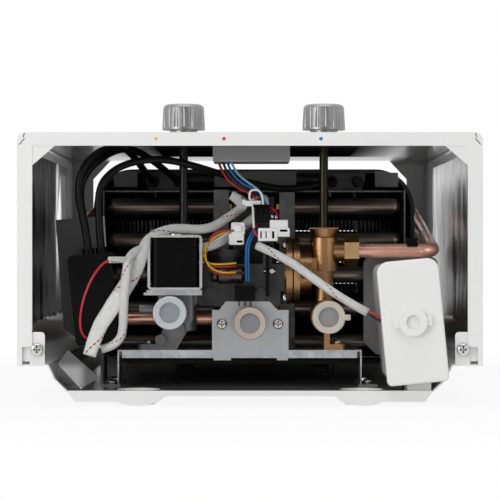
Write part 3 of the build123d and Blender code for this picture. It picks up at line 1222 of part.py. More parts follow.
def push_rod():
    """Rod from the diaphragm to the gas side, with a pin that works the switch lever."""
    rod_end = DIAPHRAGM_X - DIAPHRAGM_SHEET - 0.1
    shape = rod((ROD_LEFT_X, SPINDLE_Y, ROD_Z), (rod_end, SPINDLE_Y, ROD_Z), ROD_RADIUS)
    return shape + rod((PIN_X, SPINDLE_Y, ROD_Z), (PIN_X, LEVER_Y, ROD_Z), PIN_RADIUS)


def linkage_housing():
    """Dark cast housing between the valves, with a round regulator cap on top."""
    y = (RAIL_Y, HOUSING_END_Y)
    housing = block((HOUSING_LEFT_X, HOUSING_RIGHT_X), y, (HOUSING_LOW_Z, HOUSING_TOP_Z))
    housing = fillet(housing.edges().filter_by(Axis.Y), 3)
    cap_x, cap_y = HOUSING_LEFT_X + 18.5, RAIL_Y + 17
    housing += rod((cap_x, cap_y, HOUSING_TOP_Z - 1), (cap_x, cap_y, HOUSING_TOP_Z + 5), 12)
    housing += rod((cap_x, cap_y, HOUSING_TOP_Z + 5), (cap_x, cap_y, HOUSING_TOP_Z + 10), 14.5)
    boss_y = (RAIL_Y - 3, RAIL_Y + 1)
    for x in (HOUSING_LEFT_X + 9, HOUSING_RIGHT_X - 17):
        housing += rod((x, boss_y[0], HOUSING_LOW_Z + 8), (x, boss_y[1], HOUSING_LOW_Z + 8), 4.6)
    housing += block((SWITCH_X - 9, SWITCH_X + 9), boss_y, (HOUSING_LOW_Z + 3, HOUSING_LOW_Z + 14))
    housing += block((LEVER_X - 3, LEVER_X + 3), (RAIL_Y, RAIL_Y + 8), (HOUSING_TOP_Z - 1, LEVER_PIVOT_Z + 4))
    housing += rod((LEVER_X, LEVER_Y - 2, LEVER_PIVOT_Z), (LEVER_X, boss_y[1], LEVER_PIVOT_Z),
                   LEVER_PIVOT_RADIUS)
    housing -= disc_x((ROD_LEFT_X - ROD_TRAVEL - 1, HOUSING_RIGHT_X + 1), ROD_RADIUS + RUNNING_GAP)
    housing -= block((HOUSING_RIGHT_X - 3, HOUSING_RIGHT_X + 1), (RAIL_Y - 1, SPINDLE_Y + 12),
                     (HOUSING_LOW_Z - 1, HOUSING_LOW_Z + 10))
    window_x = (PIN_X - ROD_TRAVEL - PIN_RADIUS - 1, PIN_X + PIN_RADIUS + 1)
    window_half = PIN_RADIUS + 0.4
    return housing - block(window_x, (RAIL_Y - 1, SPINDLE_Y), (ROD_Z - window_half, ROD_Z + window_half))


def micro_switch():
    """Small snap switch in front of the housing, with its button towards the lever."""
    x = (SWITCH_X - 7, SWITCH_X + 7)
    y = (LEVER_Y - 2, RAIL_Y - 3)
    switch = block(x, y, (SWITCH_LOW_Z, SWITCH_LOW_Z + 10))
    switch += block((x[1] - 1, x[1] + 1.3), (y[0] + 1, y[0] + 3), (SWITCH_LOW_Z + 6.6, SWITCH_LOW_Z + 8.4))
    for step in (-4, 0, 4):
        switch += block((SWITCH_X + step - 0.4, SWITCH_X + step + 0.4), (y[0] + 1, y[0] + 2.6),
                        (SWITCH_LOW_Z - 4, SWITCH_LOW_Z + 1))
    return switch


def switch_lever():
    """Lever that hangs from its pivot in front of the push rod's pin."""
    y = (LEVER_Y - 2, LEVER_Y + 1.8)
    hub = rod((LEVER_X, y[0], LEVER_PIVOT_Z), (LEVER_X, y[1], LEVER_PIVOT_Z), LEVER_HUB)
    arm_x = (LEVER_X - 1.2, LEVER_X + 1.2)
    lever = hub + block(arm_x, y, (SWITCH_LOW_Z + 3, LEVER_PIVOT_Z))
    return lever - rod((LEVER_X, y[0] - 1, LEVER_PIVOT_Z), (LEVER_X, y[1] + 1, LEVER_PIVOT_Z),
                       LEVER_PIVOT_RADIUS + RUNNING_GAP)


# ---- Pipes ----

def union_nut():
    """Hexagon nut that holds the cold pipe against the water valve's outlet."""
    end = NUT_START_X + NUT_LENGTH
    nut = hexagon((NUT_START_X, SPINDLE_Y, COLD_PIPE_Z), (end, SPINDLE_Y, COLD_PIPE_Z), NUT_FLATS)
    return nut - rod((NUT_START_X - 1, SPINDLE_Y, COLD_PIPE_Z), (end + 1, SPINDLE_Y, COLD_PIPE_Z),
                     PIPE_RADIUS + RUNNING_GAP)


def cold_pipe():
    """Copper pipe from the water valve back along the side to the heat exchanger's upper run."""
    rows = bar_rows()
    side_x = CHAMBER_X + CHAMBER_HALF + 10
    points = [(NUT_START_X, SPINDLE_Y, COLD_PIPE_Z), (side_x - 2.4, SPINDLE_Y, COLD_PIPE_Z),
              (side_x + 2, TUBE_Y - 111, COLD_PIPE_Z + 15), (side_x + 2, TUBE_Y, rows[-1]),
              (CHAMBER_X + CHAMBER_HALF + 4, TUBE_Y, rows[-1])]
    return tube(points, [10, 40, 6], PIPE_RADIUS, PIPE_RADIUS - PIPE_WALL)


def hot_pipe():
    """Copper pipe from the heat exchanger's lower run back to the hot outlet."""
    rows = bar_rows()
    side_x = CHAMBER_X - CHAMBER_HALF - 15
    points = [(HOT_X - 24, HOT_PIPE_Y, HOT_PIPE_Z), (side_x + 2, HOT_PIPE_Y, HOT_PIPE_Z),
              (side_x - 1, TUBE_Y - 111, HOT_Z - 8), (side_x - 1, TUBE_Y, rows[0]),
              (CHAMBER_X - CHAMBER_HALF - 4, TUBE_Y, rows[0])]
    return tube(points, [10, 40, 6], PIPE_RADIUS, PIPE_RADIUS - PIPE_WALL)


def hot_outlet():
    """Brass outlet elbow behind the outlet plate, with its thread through the plate."""
    elbow = rod((HOT_X, RAIL_Y + 4, HOT_Z), (HOT_X, HOT_PIPE_Y + 8, HOT_Z), THREAD_RADIUS)
    elbow += rod((HOT_X, RAIL_Y, HOT_Z), (HOT_X, RAIL_Y + 4, HOT_Z), INLET_RADIUS)
    elbow += thread(HOT_X, HOT_Z, HOT_TIP_Y, HOT_TIP_Y + THREAD_LENGTH)
    elbow += rod((HOT_X, HOT_TIP_Y + THREAD_LENGTH - 1, HOT_Z), (HOT_X, RAIL_Y + 1, HOT_Z), THREAD_RADIUS)
    elbow += rod((HOT_X - 8, HOT_PIPE_Y, HOT_PIPE_Z), (HOT_X - 24, HOT_PIPE_Y, HOT_PIPE_Z), 7.5)
    elbow -= rod((HOT_X, HOT_TIP_Y - 1, HOT_Z), (HOT_X, HOT_PIPE_Y, HOT_Z), PORT_RADIUS)
    return elbow - rod((HOT_X, HOT_PIPE_Y, HOT_PIPE_Z), (HOT_X - 25, HOT_PIPE_Y, HOT_PIPE_Z),
                       PIPE_RADIUS - PIPE_WALL)


def pipe_clip():
    """Saddle on top of the cold pipe for the temperature sensor."""
    x = (CLIP_X - CLIP_HALF, CLIP_X + CLIP_HALF)
    clip = rod((x[0], SPINDLE_Y, COLD_PIPE_Z), (x[1], SPINDLE_Y, COLD_PIPE_Z), PIPE_RADIUS + CLIP_WALL)
    reach = PIPE_RADIUS + CLIP_WALL + 1
    clip -= block((x[0] - 1, x[1] + 1), (SPINDLE_Y - reach, SPINDLE_Y + reach),
                  (COLD_PIPE_Z - reach, COLD_PIPE_Z + CLIP_SEAT))
    clip += block(x, (SPINDLE_Y - 4, SPINDLE_Y + 4), (COLD_PIPE_Z + CLIP_SEAT + 1, COLD_PIPE_Z + CLIP_TOP))
    return clip - rod((x[0] - 1, SPINDLE_Y, COLD_PIPE_Z), (x[1] + 1, SPINDLE_Y, COLD_PIPE_Z),
                      PIPE_RADIUS + RUNNING_GAP)


# ---- Display and carry handle ----

def window_block(shrink, low, high):
    """The display window's outline between two heights, smaller by a gap all round."""
    half_x, half_y = WINDOW_WIDTH / 2 - shrink, WINDOW_LENGTH / 2 - shrink
    middle_y = DISPLAY_Y + DISPLAY_LENGTH / 2
    x = (DISPLAY_X - half_x, DISPLAY_X + half_x)
    return block(x, (middle_y - half_y, middle_y + half_y), (low, high))


def display_housing():
    """Housing of the temperature display under the front panel, with two screw ears."""
    half = DISPLAY_WIDTH / 2
    low = INNER_FRONT_Z - DISPLAY_DEPTH
    housing = block((DISPLAY_X - half, DISPLAY_X + half), (DISPLAY_Y, DISPLAY_Y + DISPLAY_LENGTH),
                    (low, INNER_FRONT_Z))
    housing = fillet(housing.faces().sort_by(Axis.Z)[0].edges(), 1.5)
    ear_y = (DISPLAY_Y + 6, DISPLAY_Y + DISPLAY_LENGTH - 6)
    for side in (-1, 1):
        ear_x = sorted((DISPLAY_X + side * (half - 1), DISPLAY_X + side * (half + 10)))
        housing += block(ear_x, ear_y, (INNER_FRONT_Z - 2.4, INNER_FRONT_Z))
    return housing - window_block(0, INNER_FRONT_Z - 2, INNER_FRONT_Z + 1)


def display_window():
    """Clear window over the display, flush with the front panel."""
    return window_block(FIT_GAP, INNER_FRONT_Z - 2, FRONT_Z - 0.2)


def carry_handle():
    """Wire bail folded flat under the floor, its ends turned out into the ears."""
    reach = HANDLE_Y - HANDLE_REACH
    end = HANDLE_HALF + 8 + HANDLE_EAR / 2
    points = [(-end, HANDLE_Y, HANDLE_Z), (-HANDLE_HALF, HANDLE_Y, HANDLE_Z), (-HANDLE_HALF, reach, HANDLE_Z),
              (HANDLE_HALF, reach, HANDLE_Z), (HANDLE_HALF, HANDLE_Y, HANDLE_Z), (end, HANDLE_Y, HANDLE_Z)]
    return tube(points, [5.5, HANDLE_BEND, HANDLE_BEND, 5.5], HANDLE_WIRE)


# ---- Sleeves, wires and connectors ----

def left_sleeves():
    """Two woven sleeves from the middle of the harness past the solenoid, with a short branch."""
    first = [(-4.9, 64, 133.5), (-19.3, 54, 122.9), (-31, 44, 117), (-53.4, 41, 119), (-71, 39, 114),
             (-79.5, 27, 99.5), (-85.3, 14, 77), (-96.2, 9, 54), (-106.4, 4, 32.4)]
    second = [(3.2, 68, 126.4), (-13, 58, 112.8), (-31, 42.5, 104.5), (-50, 41, 104), (-71, 38, 103.5),
              (-79, 27, 88), (-81, 19, 68), (-85.5, 17, 48.4), (-92, 14.5, 36.4), (-98.8, 13, 44)]
    branch = rod((-84.4, 22.2, 97), (-95, 17, 97), BRANCH_RADIUS)
    branch -= rod((-88, 20.44, 97), (-97, 16.02, 97), WIRE_RADIUS + SOFT_GAP)
    return group([lead(first, SLEEVE_RADIUS), lead(second, SLEEVE_RADIUS), branch])


def right_sleeve():
    """Thin woven sleeve from the middle of the harness to the battery box."""
    route = [(5, 37.5, 106.6), (24, 27, 98.2), (41, 21, 85.7), (61.6, 14, 70.9), (79, 14, 61.6)]
    return lead(route, THIN_SLEEVE_RADIUS)


def harness_wires():
    """Thin wires of the display, the switch, the igniter and the battery box."""
    low = INNER_FRONT_Z - DISPLAY_DEPTH
    wires = []
    for number in range(3):
        x = DISPLAY_X - DISPLAY_WIDTH / 2 + 4 + 3 * number
        plug_x = 10.2 + 2.4 * number
        wires.append([(x, 66, low - 0.5), (x + 3, 64, 156), (x + 12, 61, 147), (plug_x, 50, 142),
                      (plug_x, 50, 134.65)])
    wires.append([(-4.4, 64.4, 133.9), (2, 66, 139), (10, 60, 141), (15, 53.5, 141), (15, 53.5, 134.65)])
    wires.append([(3.6, 68.4, 126.8), (9, 70, 131), (13, 64, 130), (13, 60, 128), (13, 55.05, 128)])
    wires.append([(10.5, 41, 120), (10, 41, 124), (10.5, 44.2, 127.6)])
    wires.append([(-3, 40, 120), (-15, 37, 119), (-26, 36, 111), (-29, 35.5, 100), (-24, 37, 92),
                  (-12, 40, 89), (-5, 43, 86), (-5, 44.5, 79.4)])
    wires.append([(6.5, 43, 109), (4, 40, 98), (1.5, 41, 87), (1, 44.5, 79.6)])
    wires.append([(-91, 18.97, 97), (-96.5, 16.26, 97), (-104, 14, 88.7), (-110, 13.5, 76.7), (-114, 13.5, 62),
                  (-114, 14, 48.4), (-108, 14.5, 42.5), (-102, 15.5, 43.5), (-101, 19.4, 45)])
    wires.append([(80.2, 12.5, 61.9), (83.5, 10, 60.5), (87.9, 10, 58.5)])
    wires.append([(80.2, 15.2, 60.4), (84, 14, 57.4), (88.1, 14, 56)])
    return group([lead(route, WIRE_RADIUS) for route in wires])


def wire_connectors():
    """Two white plugs, a black plug and the ties that gather the harness."""
    plugs = [block((5.5, 27.4), (36, 45.5), (109.6, 119.9)), block((-9.6, 0), (41.5, 49), (107, 122.8)),
             block((8.3, 17.2), (45, 55), (120.8, 134.6))]
    plugs = [fillet(plug.edges().filter_by(Axis.Y), 1) for plug in plugs]
    low, high = (-12.1, 59, 128.2), (-10.7, 60, 129.2)
    tie = rod(low, high, SLEEVE_RADIUS + 1.5) - rod(low, high, SLEEVE_RADIUS + SOFT_GAP)
    return group([*plugs, tie])


# ---- Export ----

NODES = {
    "front_cover": front_cover,
    "back_plate": back_plate,
    "left_foil_liner": lambda: foil_liner(-1),
    "right_foil_liner": lambda: foil_liner(1),
    "cover_screws": cover_screws,
    "chassis_rail": chassis_rail,
    "outlet_plate": outlet_plate,
    "frame_screws": frame_screws,
    "left_bracket": left_bracket,
    "right_bracket": right_bracket,
    "burner_bars": burner_bars,
    "burner_frame": burner_frame,
    "gas_manifold": gas_manifold,
    "gas_nozzles": gas_nozzles,
    "combustion_chamber": combustion_chamber,
    "heat_exchanger_fins": heat_exchanger_fins,
    "heat_exchanger_tube": heat_exchanger_tube,
    "flue_hood": flue_hood,
    "electrode_bracket": electrode_bracket,
    "electrodes": electrodes,
    "electrode_boots": electrode_boots,
    "igniter_box": igniter_box,
    "ignition_leads": ignition_leads,
    "battery_case": battery_case,
    "battery_cells": battery_cells,
    "battery_gasket": battery_gasket,
    "battery_lid": battery_lid,
    "battery_lock_knob": battery_lock_knob,
    "solenoid_frame": solenoid_frame,
    "solenoid_coil": solenoid_coil,
    "solenoid_plunger": solenoid_plunger,
    "solenoid_flange": solenoid_flange,
    "gas_valve_body": gas_valve_body,
    "gas_cap": lambda: cap(GAS_X, GAS_Z, GAS_TIP_Y, False),
    "gas_spindle": lambda: spindle(GAS_SPINDLE_X, SPINDLE_TOP_Z),
    "gas_knob": lambda: knob(GAS_SPINDLE_X),
    "water_valve_body": water_valve_body,
    "diaphragm_cover": diaphragm_cover,
    "diaphragm": diaphragm,
    "diaphragm_screws": diaphragm_screws,
    "push_rod": push_rod,
    "linkage_housing": linkage_housing,
    "micro_switch": micro_switch,
    "switch_lever": switch_lever,
    "water_spindle": lambda: spindle(WATER_SPINDLE_X, SPINDLE_TOP_Z),
    "water_knob": lambda: knob(WATER_SPINDLE_X),
    "cold_cap": lambda: cap(COLD_X, COLD_Z, COLD_TIP_Y, True),
    "union_nut": union_nut,
    "cold_pipe": cold_pipe,
    "hot_pipe": hot_pipe,
    "hot_outlet": hot_outlet,
    "hot_cap": lambda: cap(HOT_X, HOT_Z, HOT_TIP_Y, False),
    "pipe_clip": pipe_clip,
    "display_housing": display_housing,
    "display_window": display_window,
    "carry_handle": carry_handle,
    "left_sleeves": left_sleeves,
    "right_sleeve": right_sleeve,
    "harness_wires": harness_wires,
    "wire_connectors": wire_connectors,
}

SHIFT = Pos(0, -(CASE_LENGTH + FLUE_PROUD - SERVICE_PROUD) / 2, 0)
for name, make in NODES.items():
    export_step(SHIFT * make(), f"parts/{name}.step")
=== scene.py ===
"""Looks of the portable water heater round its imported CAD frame.

Drawn places and sizes are in millimetres, and at() turns them into metres of the row frame. Lamps, patches
and shader distances are in metres.
"""

import math

import bmesh
import bpy
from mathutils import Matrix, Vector, noise


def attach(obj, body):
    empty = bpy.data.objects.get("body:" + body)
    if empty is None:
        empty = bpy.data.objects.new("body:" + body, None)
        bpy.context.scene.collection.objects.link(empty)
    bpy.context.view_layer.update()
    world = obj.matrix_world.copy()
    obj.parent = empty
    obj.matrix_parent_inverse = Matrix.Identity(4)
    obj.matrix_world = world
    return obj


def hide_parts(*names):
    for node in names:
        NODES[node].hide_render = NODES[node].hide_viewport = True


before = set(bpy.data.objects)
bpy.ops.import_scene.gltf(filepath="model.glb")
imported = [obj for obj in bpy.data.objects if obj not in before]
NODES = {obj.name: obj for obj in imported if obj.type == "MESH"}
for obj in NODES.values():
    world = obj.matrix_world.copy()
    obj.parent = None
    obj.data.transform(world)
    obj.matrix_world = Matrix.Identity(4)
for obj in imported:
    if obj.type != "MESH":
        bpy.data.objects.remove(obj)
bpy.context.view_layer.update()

# ---- Places and sizes, in the CAD's drawn millimetres ----
MIDDLE_Y = 215.0
INNER_WALL_X = 154.0
FRONT_Z = 182.0
FRONT_WALL = 1.0
DISPLAY_DEPTH = 16.4
CAMERA_Y = -1400.0
CAMERA_Z = 103.6
FRAME_WIDTH = 332.5
SENSOR = 36.0
FOIL_RANGE_Y = (5.0, 368.0)
FOIL_RANGE_Z = (50.0, 172.0)
FOIL_DEPTH = 2.4
FOIL_GAP = 0.15
FOIL_LIFT = 3
TEAR_BROAD, TEAR_FINE = 5, 2.2
LEAD_DIAMETER = 5.0
TIE_DIAMETER = 1.5
EDGE_HIGHLIGHT_WIDTH = 0.9
MITRE_WIDTH = (0.55, 0.3)

# ---- Counts, and creases in degrees ----
PICTURE_PIXELS = 500
TUBE_SIDES = 28
ROUND_SIDES = 72
MARK_SIDES = 24
NODE_CREASE = 32

# ---- Strengths of light, and lengths in metres ----
STUDIO_WHITE = 1.0
AMBIENT = 0.4
CAMERA_SIDE = 0.2
MIRROR_FADE = (-0.9, 0.3)
FLOOR_WHITE_NEAR = 0.9
FLOOR_NEAR, FLOOR_FAR = 0.28, 0.6
FLOOR_HALF, FLOOR_Z = 6.0, -0.0003
LAMP_AIM = (0, -0.1, 0.1)
SHORTEST_CORD = 0.03

# ---- The part of a noise's range that its ramps spread over ----
NOISE_LOW, NOISE_HIGH = 0.3, 0.7


def at(x, y, z):
    """Drawn millimetres to metres in the row frame."""
    return Vector((x / 1000, (y - MIDDLE_Y) / 1000, z / 1000))


def seen(px, py, depth):
    """Drawn place at a depth, from the pixel where the camera sees it in its square picture."""
    middle = PICTURE_PIXELS / 2
    scale = FRAME_WIDTH / PICTURE_PIXELS * (1 - depth / CAMERA_Y)
    return ((px - middle) * scale, depth, CAMERA_Z + (middle - py) * scale)


# ---- Materials ----

class Paint:
    """A material's node tree with short ways to add and join nodes."""

    def __init__(self, name):
        self.material = bpy.data.materials.new(name)
        self.material.use_nodes = True
        self.tree = self.material.node_tree
        self.tree.nodes.clear()
        self.out = self.add("ShaderNodeOutputMaterial")
        self.shader = self.add("ShaderNodeBsdfPrincipled")
        self.join(self.shader, "BSDF", self.out, "Surface")
        self.place = self.add("ShaderNodeTexCoord")

    def add(self, kind, **values):
        node = self.tree.nodes.new(kind)
        for key, value in values.items():
            if key in node.inputs:
                node.inputs[key].default_value = value
            else:
                setattr(node, key, value)
        return node

    def join(self, source, output, target, entry):
        self.tree.links.new(source.outputs[output], target.inputs[entry])

    def coordinates(self, stretch=(1, 1, 1)):
        mapping = self.add("ShaderNodeMapping", Scale=stretch)
        self.join(self.place, "Object", mapping, "Vector")
        return mapping

    def noise(self, scale, detail=3.0, stretch=(1, 1, 1), roughness=0.55):
        texture = self.add("ShaderNodeTexNoise", Scale=scale, Detail=detail, Roughness=roughness)
        self.join(self.coordinates(stretch), "Vector", texture, "Vector")
        return texture

    def ramp(self, source, output, low, high, start=NOISE_LOW, end=NOISE_HIGH):
        ramp = self.add("ShaderNodeValToRGB")
        ramp.color_ramp.elements[0].position = start
        ramp.color_ramp.elements[1].position = end
        ramp.color_ramp.elements[0].color = (*low, 1)
        ramp.color_ramp.elements[1].color = (*high, 1)
        self.join(source, output, ramp, "Fac")
        return ramp

    def level(self, source, output, low, high):
        spread = self.add("ShaderNodeMapRange")
        spread.inputs["From Min"].default_value = NOISE_LOW
        spread.inputs["From Max"].default_value = NOISE_HIGH
        spread.inputs["To Min"].default_value = low
        spread.inputs["To Max"].default_value = high
        self.join(source, output, spread, "Value")
        return spread

    def bump(self, source, output, strength, distance):
        bump = self.add("ShaderNodeBump", Strength=strength, Distance=distance)
        self.join(source, output, bump, "Height")
        self.join(bump, "Normal", self.shader, "Normal")
        return bump


def shade(color, factor):
    return tuple(min(1.0, c * factor) for c in color)


def surface(name, color, rough, metallic=0.0, spread=0.05, scale=40, stretch=(1, 1, 1), rough_spread=0.05,
            bump=0.1, bump_scale=900, bump_size=0.0002, coat=0.0, specular=0.5):
    """General surface: colour and roughness vary with a broad noise, and a finer one raises the surface."""
    paint = Paint(name)
    broad = paint.noise(scale, stretch=stretch)
    color_ramp = paint.ramp(broad, "Fac", shade(color, 1 - spread), shade(color, 1 + spread))
    paint.join(color_ramp, "Color", paint.shader, "Base Color")
    paint.join(paint.level(broad, "Fac", max(0.02, rough - rough_spread), rough + rough_spread), "Result",
               paint.shader, "Roughness")
    paint.shader.inputs["Metallic"].default_value = metallic
    paint.shader.inputs["Specular IOR Level"].default_value = specular
    if coat:
        paint.shader.inputs["Coat Weight"].default_value = coat
        paint.shader.inputs["Coat Roughness"].default_value = 0.12
    paint.bump(paint.noise(bump_scale, detail=2, stretch=stretch), "Fac", bump, bump_size)
    return paint


def spangled(name, color, rough):
    """Zinc coating with its crystal spangle."""
    paint = Paint(name)
    cells = paint.add("ShaderNodeTexVoronoi", Scale=260.0)
    paint.join(paint.coordinates(), "Vector", cells, "Vector")
    grey = paint.add("ShaderNodeSeparateColor")
    paint.join(cells, "Color", grey, "Color")
    ramp = paint.ramp(grey, "Red", shade(color, 0.86), shade(color, 1.1), 0.0, 1.0)
    paint.join(ramp, "Color", paint.shader, "Base Color")
    paint.join(paint.level(grey, "Green", rough - 0.05, rough + 0.08), "Result", paint.shader, "Roughness")
    paint.shader.inputs["Metallic"].default_value = 1.0
    paint.bump(paint.noise(700, detail=2), "Fac", 0.12, 0.0002)
    return paint


def patch(paint, low, high, color, rough, metallic, soft=(0, 0, 0), shine=None):
    """Inside a box, in metres of the row frame, a surface has another colour, roughness and metal.

    The box's sides fade inwards over the soft widths. With a shine, the patch has that specular level and no
    coat.
    """
    links = paint.tree.links
    parts = paint.add("ShaderNodeSeparateXYZ")
    paint.join(paint.place, "Object", parts, "Vector")
    mask = None
    for axis, least, most, width in zip("XYZ", low, high, soft):
        for start, end in ((least, least + width), (most, most - width)):
            if width:
                test = paint.add("ShaderNodeMapRange", interpolation_type="SMOOTHSTEP")
                test.inputs["From Min"].default_value = start
                test.inputs["From Max"].default_value = end
            else:
                operation = "GREATER_THAN" if start == least else "LESS_THAN"
                test = paint.add("ShaderNodeMath", operation=operation)
                test.inputs[1].default_value = start
            paint.join(parts, axis, test, 0)
            if mask:
                both = paint.add("ShaderNodeMath", operation="MULTIPLY")
                links.new(mask.outputs[0], both.inputs[0])
                links.new(test.outputs[0], both.inputs[1])
                mask = both
            else:
                mask = test
    mix = paint.add("ShaderNodeMix", data_type="RGBA")
    links.new(mask.outputs[0], mix.inputs["Factor"])
    links.new(paint.shader.inputs["Base Color"].links[0].from_socket, mix.inputs[6])
    mix.inputs[7].default_value = (*color, 1)
    links.new(mix.outputs[2], paint.shader.inputs["Base Color"])
    changes = {"Roughness": rough, "Metallic": metallic}
    if shine is not None:
        changes |= {"Specular IOR Level": shine, "Coat Weight": 0.0}
    for name, value in changes.items():
        socket = paint.shader.inputs[name]
        blend = paint.add("ShaderNodeMix", data_type="FLOAT")
        links.new(mask.outputs[0], blend.inputs["Factor"])
        if socket.links:
            links.new(socket.links[0].from_socket, blend.inputs[2])
        else:
            blend.inputs[2].default_value = socket.default_value
        blend.inputs[3].default_value = value
        links.new(blend.outputs[0], socket)
    return paint


def painted_crevice_shade(paint, reach):
    """Painted shade: the base colour is darkened in crevices narrower than a reach in metres, by ambient
    occlusion.
    """
    shelter = paint.add("ShaderNodeAmbientOcclusion", samples=8)
    shelter.inputs["Distance"].default_value = reach
    crevice_shade_ramp = paint.ramp(shelter, "AO", (0.02, 0.02, 0.02), (1, 1, 1), 0.35, 0.85)
    mix = paint.add("ShaderNodeMix", data_type="RGBA", blend_type="MULTIPLY")
    mix.inputs["Factor"].default_value = 1.0
    paint.tree.links.new(paint.shader.inputs["Base Color"].links[0].from_socket, mix.inputs[6])
    paint.join(crevice_shade_ramp, "Color", mix, 7)
    paint.tree.links.new(mix.outputs[2], paint.shader.inputs["Base Color"])


def crumpled_foil(name, color, rough, metallic, spread):
    """Foil with broad soft streaks along its height.

    It is seen nearly edge on, so only its metal is glossy.
    """
    paint = surface(name, color, rough, metallic, spread, 60, (1, 1, 0.2), 0.05, specular=0.0)
    paint.bump(paint.noise(22, detail=2, stretch=(1, 1, 0.2)), "Fac", 0.12, 0.002)
    return paint


def polythene(name, color, clear, rough):
    """Milky polythene: light passes through it, spread out."""
    paint = surface(name, color, rough, 0.0, 0.02, 60, bump=0.05)
    paint.shader.inputs["Transmission Weight"].default_value = clear
    paint.shader.inputs["Subsurface Weight"].default_value = 0.25
    paint.shader.inputs["Subsurface Scale"].default_value = 0.003
    paint.shader.inputs["IOR"].default_value = 1.3
    return paint


def smoked_glass():
    paint = surface("smoked_window", (0.05, 0.055, 0.06), 0.06, 0.0, 0.1, 30, bump=0.02, coat=0.5)
    paint.shader.inputs["Transmission Weight"].default_value = 0.3
    return paint


# The tracer's turns and dashes and the braid's lean are per metre of sleeve. Its rate is in radians a turn.
TRACER_TURNS, TRACER_WIDTH = 20.0, 0.042
TRACER_DASHES, DASH_SHARE = 330.0, 0.66
BRAID_LEAN, BRAID_RATE = 16.0, 150.0


def woven_sleeve():
    """White glass-fibre braid with one fine red dashed tracer that winds round it."""
    paint = Paint("glass_fibre_sleeve")
    uv = paint.add("ShaderNodeUVMap", uv_map="route")
    parts = paint.add("ShaderNodeSeparateXYZ")
    paint.join(uv, "UV", parts, "Vector")

    def math_node(operation, first, second=None, value=None):
        node = paint.add("ShaderNodeMath", operation=operation)
        paint.tree.links.new(first, node.inputs[0])
        if second is not None:
            paint.tree.links.new(second, node.inputs[1])
        if value is not None:
            node.inputs[1].default_value = value
        return node.outputs[0]

    along, around = parts.outputs["X"], parts.outputs["Y"]
    turns = math_node("MULTIPLY", along, value=TRACER_TURNS)
    helix = math_node("FRACT", math_node("ADD", around, turns))
    near = math_node("LESS_THAN", helix, value=TRACER_WIDTH)
    dashes = math_node("FRACT", math_node("MULTIPLY", along, value=TRACER_DASHES))
    tracer = math_node("MULTIPLY", near, math_node("LESS_THAN", dashes, value=DASH_SHARE))
    soft = paint.noise(260, detail=3)
    ramp = paint.ramp(soft, "Fac", (0.9, 0.895, 0.885), (0.98, 0.975, 0.96))
    mix = paint.add("ShaderNodeMix", data_type="RGBA")
    paint.tree.links.new(tracer, mix.inputs["Factor"])
    paint.tree.links.new(ramp.outputs["Color"], mix.inputs[6])
    mix.inputs[7].default_value = (0.5, 0.05, 0.04, 1)
    paint.tree.links.new(mix.outputs[2], paint.shader.inputs["Base Color"])
    paint.shader.inputs["Roughness"].default_value = 0.62
    paint.shader.inputs["Sheen Weight"].default_value = 0.25
    lean = math_node("MULTIPLY", along, value=BRAID_LEAN)
    strands = [math_node("SINE", math_node("MULTIPLY", math_node(turn, around, lean), value=BRAID_RATE))
               for turn in ("ADD", "SUBTRACT")]
    bump = paint.add("ShaderNodeBump", Strength=0.8, Distance=0.0005)
    paint.tree.links.new(math_node("MAXIMUM", *strands), bump.inputs["Height"])
    paint.join(bump, "Normal", paint.shader, "Normal")
    return paint


# Boxes, in metres of the row frame, where a node's look changes, and the widths over which some of them fade.
PLATE_FLOOR = ((-0.13, -0.2135, 0.0098), (0.13, 0.2135, 0.0103))
FLAP_PAINTED_SHADE = ((-0.129, -0.2145, 0.012), (-0.099, -0.1895, 0.038))
FLAP_PAINTED_HALF_SHADE = ((-0.134, -0.2145, 0.008), (-0.108, -0.1895, 0.03))
FOIL_FAR_END = ((-0.156, 0.03, 0.06), (-0.149, 0.2, 0.2))
COVER_NEAR = ((-0.12, -0.2125, 0.1775), (0.13, -0.104, 0.1815))
COVER_FAR = ((-0.12, -0.105, 0.1775), (0.13, 0.2, 0.1803))
COVER_LEFT = ((-0.1535, -0.17, 0.1775), (-0.1318, 0.2125, 0.1815))
COVER_RIGHT = ((0.1318, -0.17, 0.1775), (0.1535, 0.2125, 0.1815))
CHAMBER_PALE_X = ((-0.1005, -0.0825), (0.0915, 0.1095), (-0.0265, 0.0345))
CHAMBER_PALE_LOW, CHAMBER_PALE_HIGH = (-0.0655, 0.1497), (-0.0636, 0.1615)
FLAP_SHADE_FADE, FOIL_FADE, COVER_SHADE_FADE = (0.007, 0, 0.007), (0, 0.03, 0.06), (0.05, 0, 0)
INNER_PAINTED_SHADE = (0.12, 0.12, 0.122)
BRIGHT = (0.95, 0.95, 0.95)

white_paint = surface("white_enamel", (0.84, 0.84, 0.835), 0.3, 0.0, 0.012, 14, rough_spread=0.01,
                      bump=0.05, bump_scale=600, coat=0.35)
plate_paint = surface("plate_enamel", (0.82, 0.82, 0.815), 0.32, 0.0, 0.012, 14, rough_spread=0.01,
                      bump=0.05, bump_scale=600, coat=0.3)
# The back plate's inner floor is bare glossy metal, and its dark grey is partly painted shade.
patch(plate_paint, *PLATE_FLOOR, (0.2, 0.2, 0.203), 0.14, 0.3)
# Painted shade on the lower-left flap: dark grey at its upper corner, a lighter grey fading in over its lower
# part, with some metal.
patch(plate_paint, *FLAP_PAINTED_SHADE, (0.1, 0.1, 0.102), 0.3, 0.4)
patch(plate_paint, *FLAP_PAINTED_HALF_SHADE, (0.35, 0.35, 0.35), 0.3, 0.2, soft=FLAP_SHADE_FADE)
foil = crumpled_foil("foil_right", BRIGHT, 0.36, 1.0, 0.05)
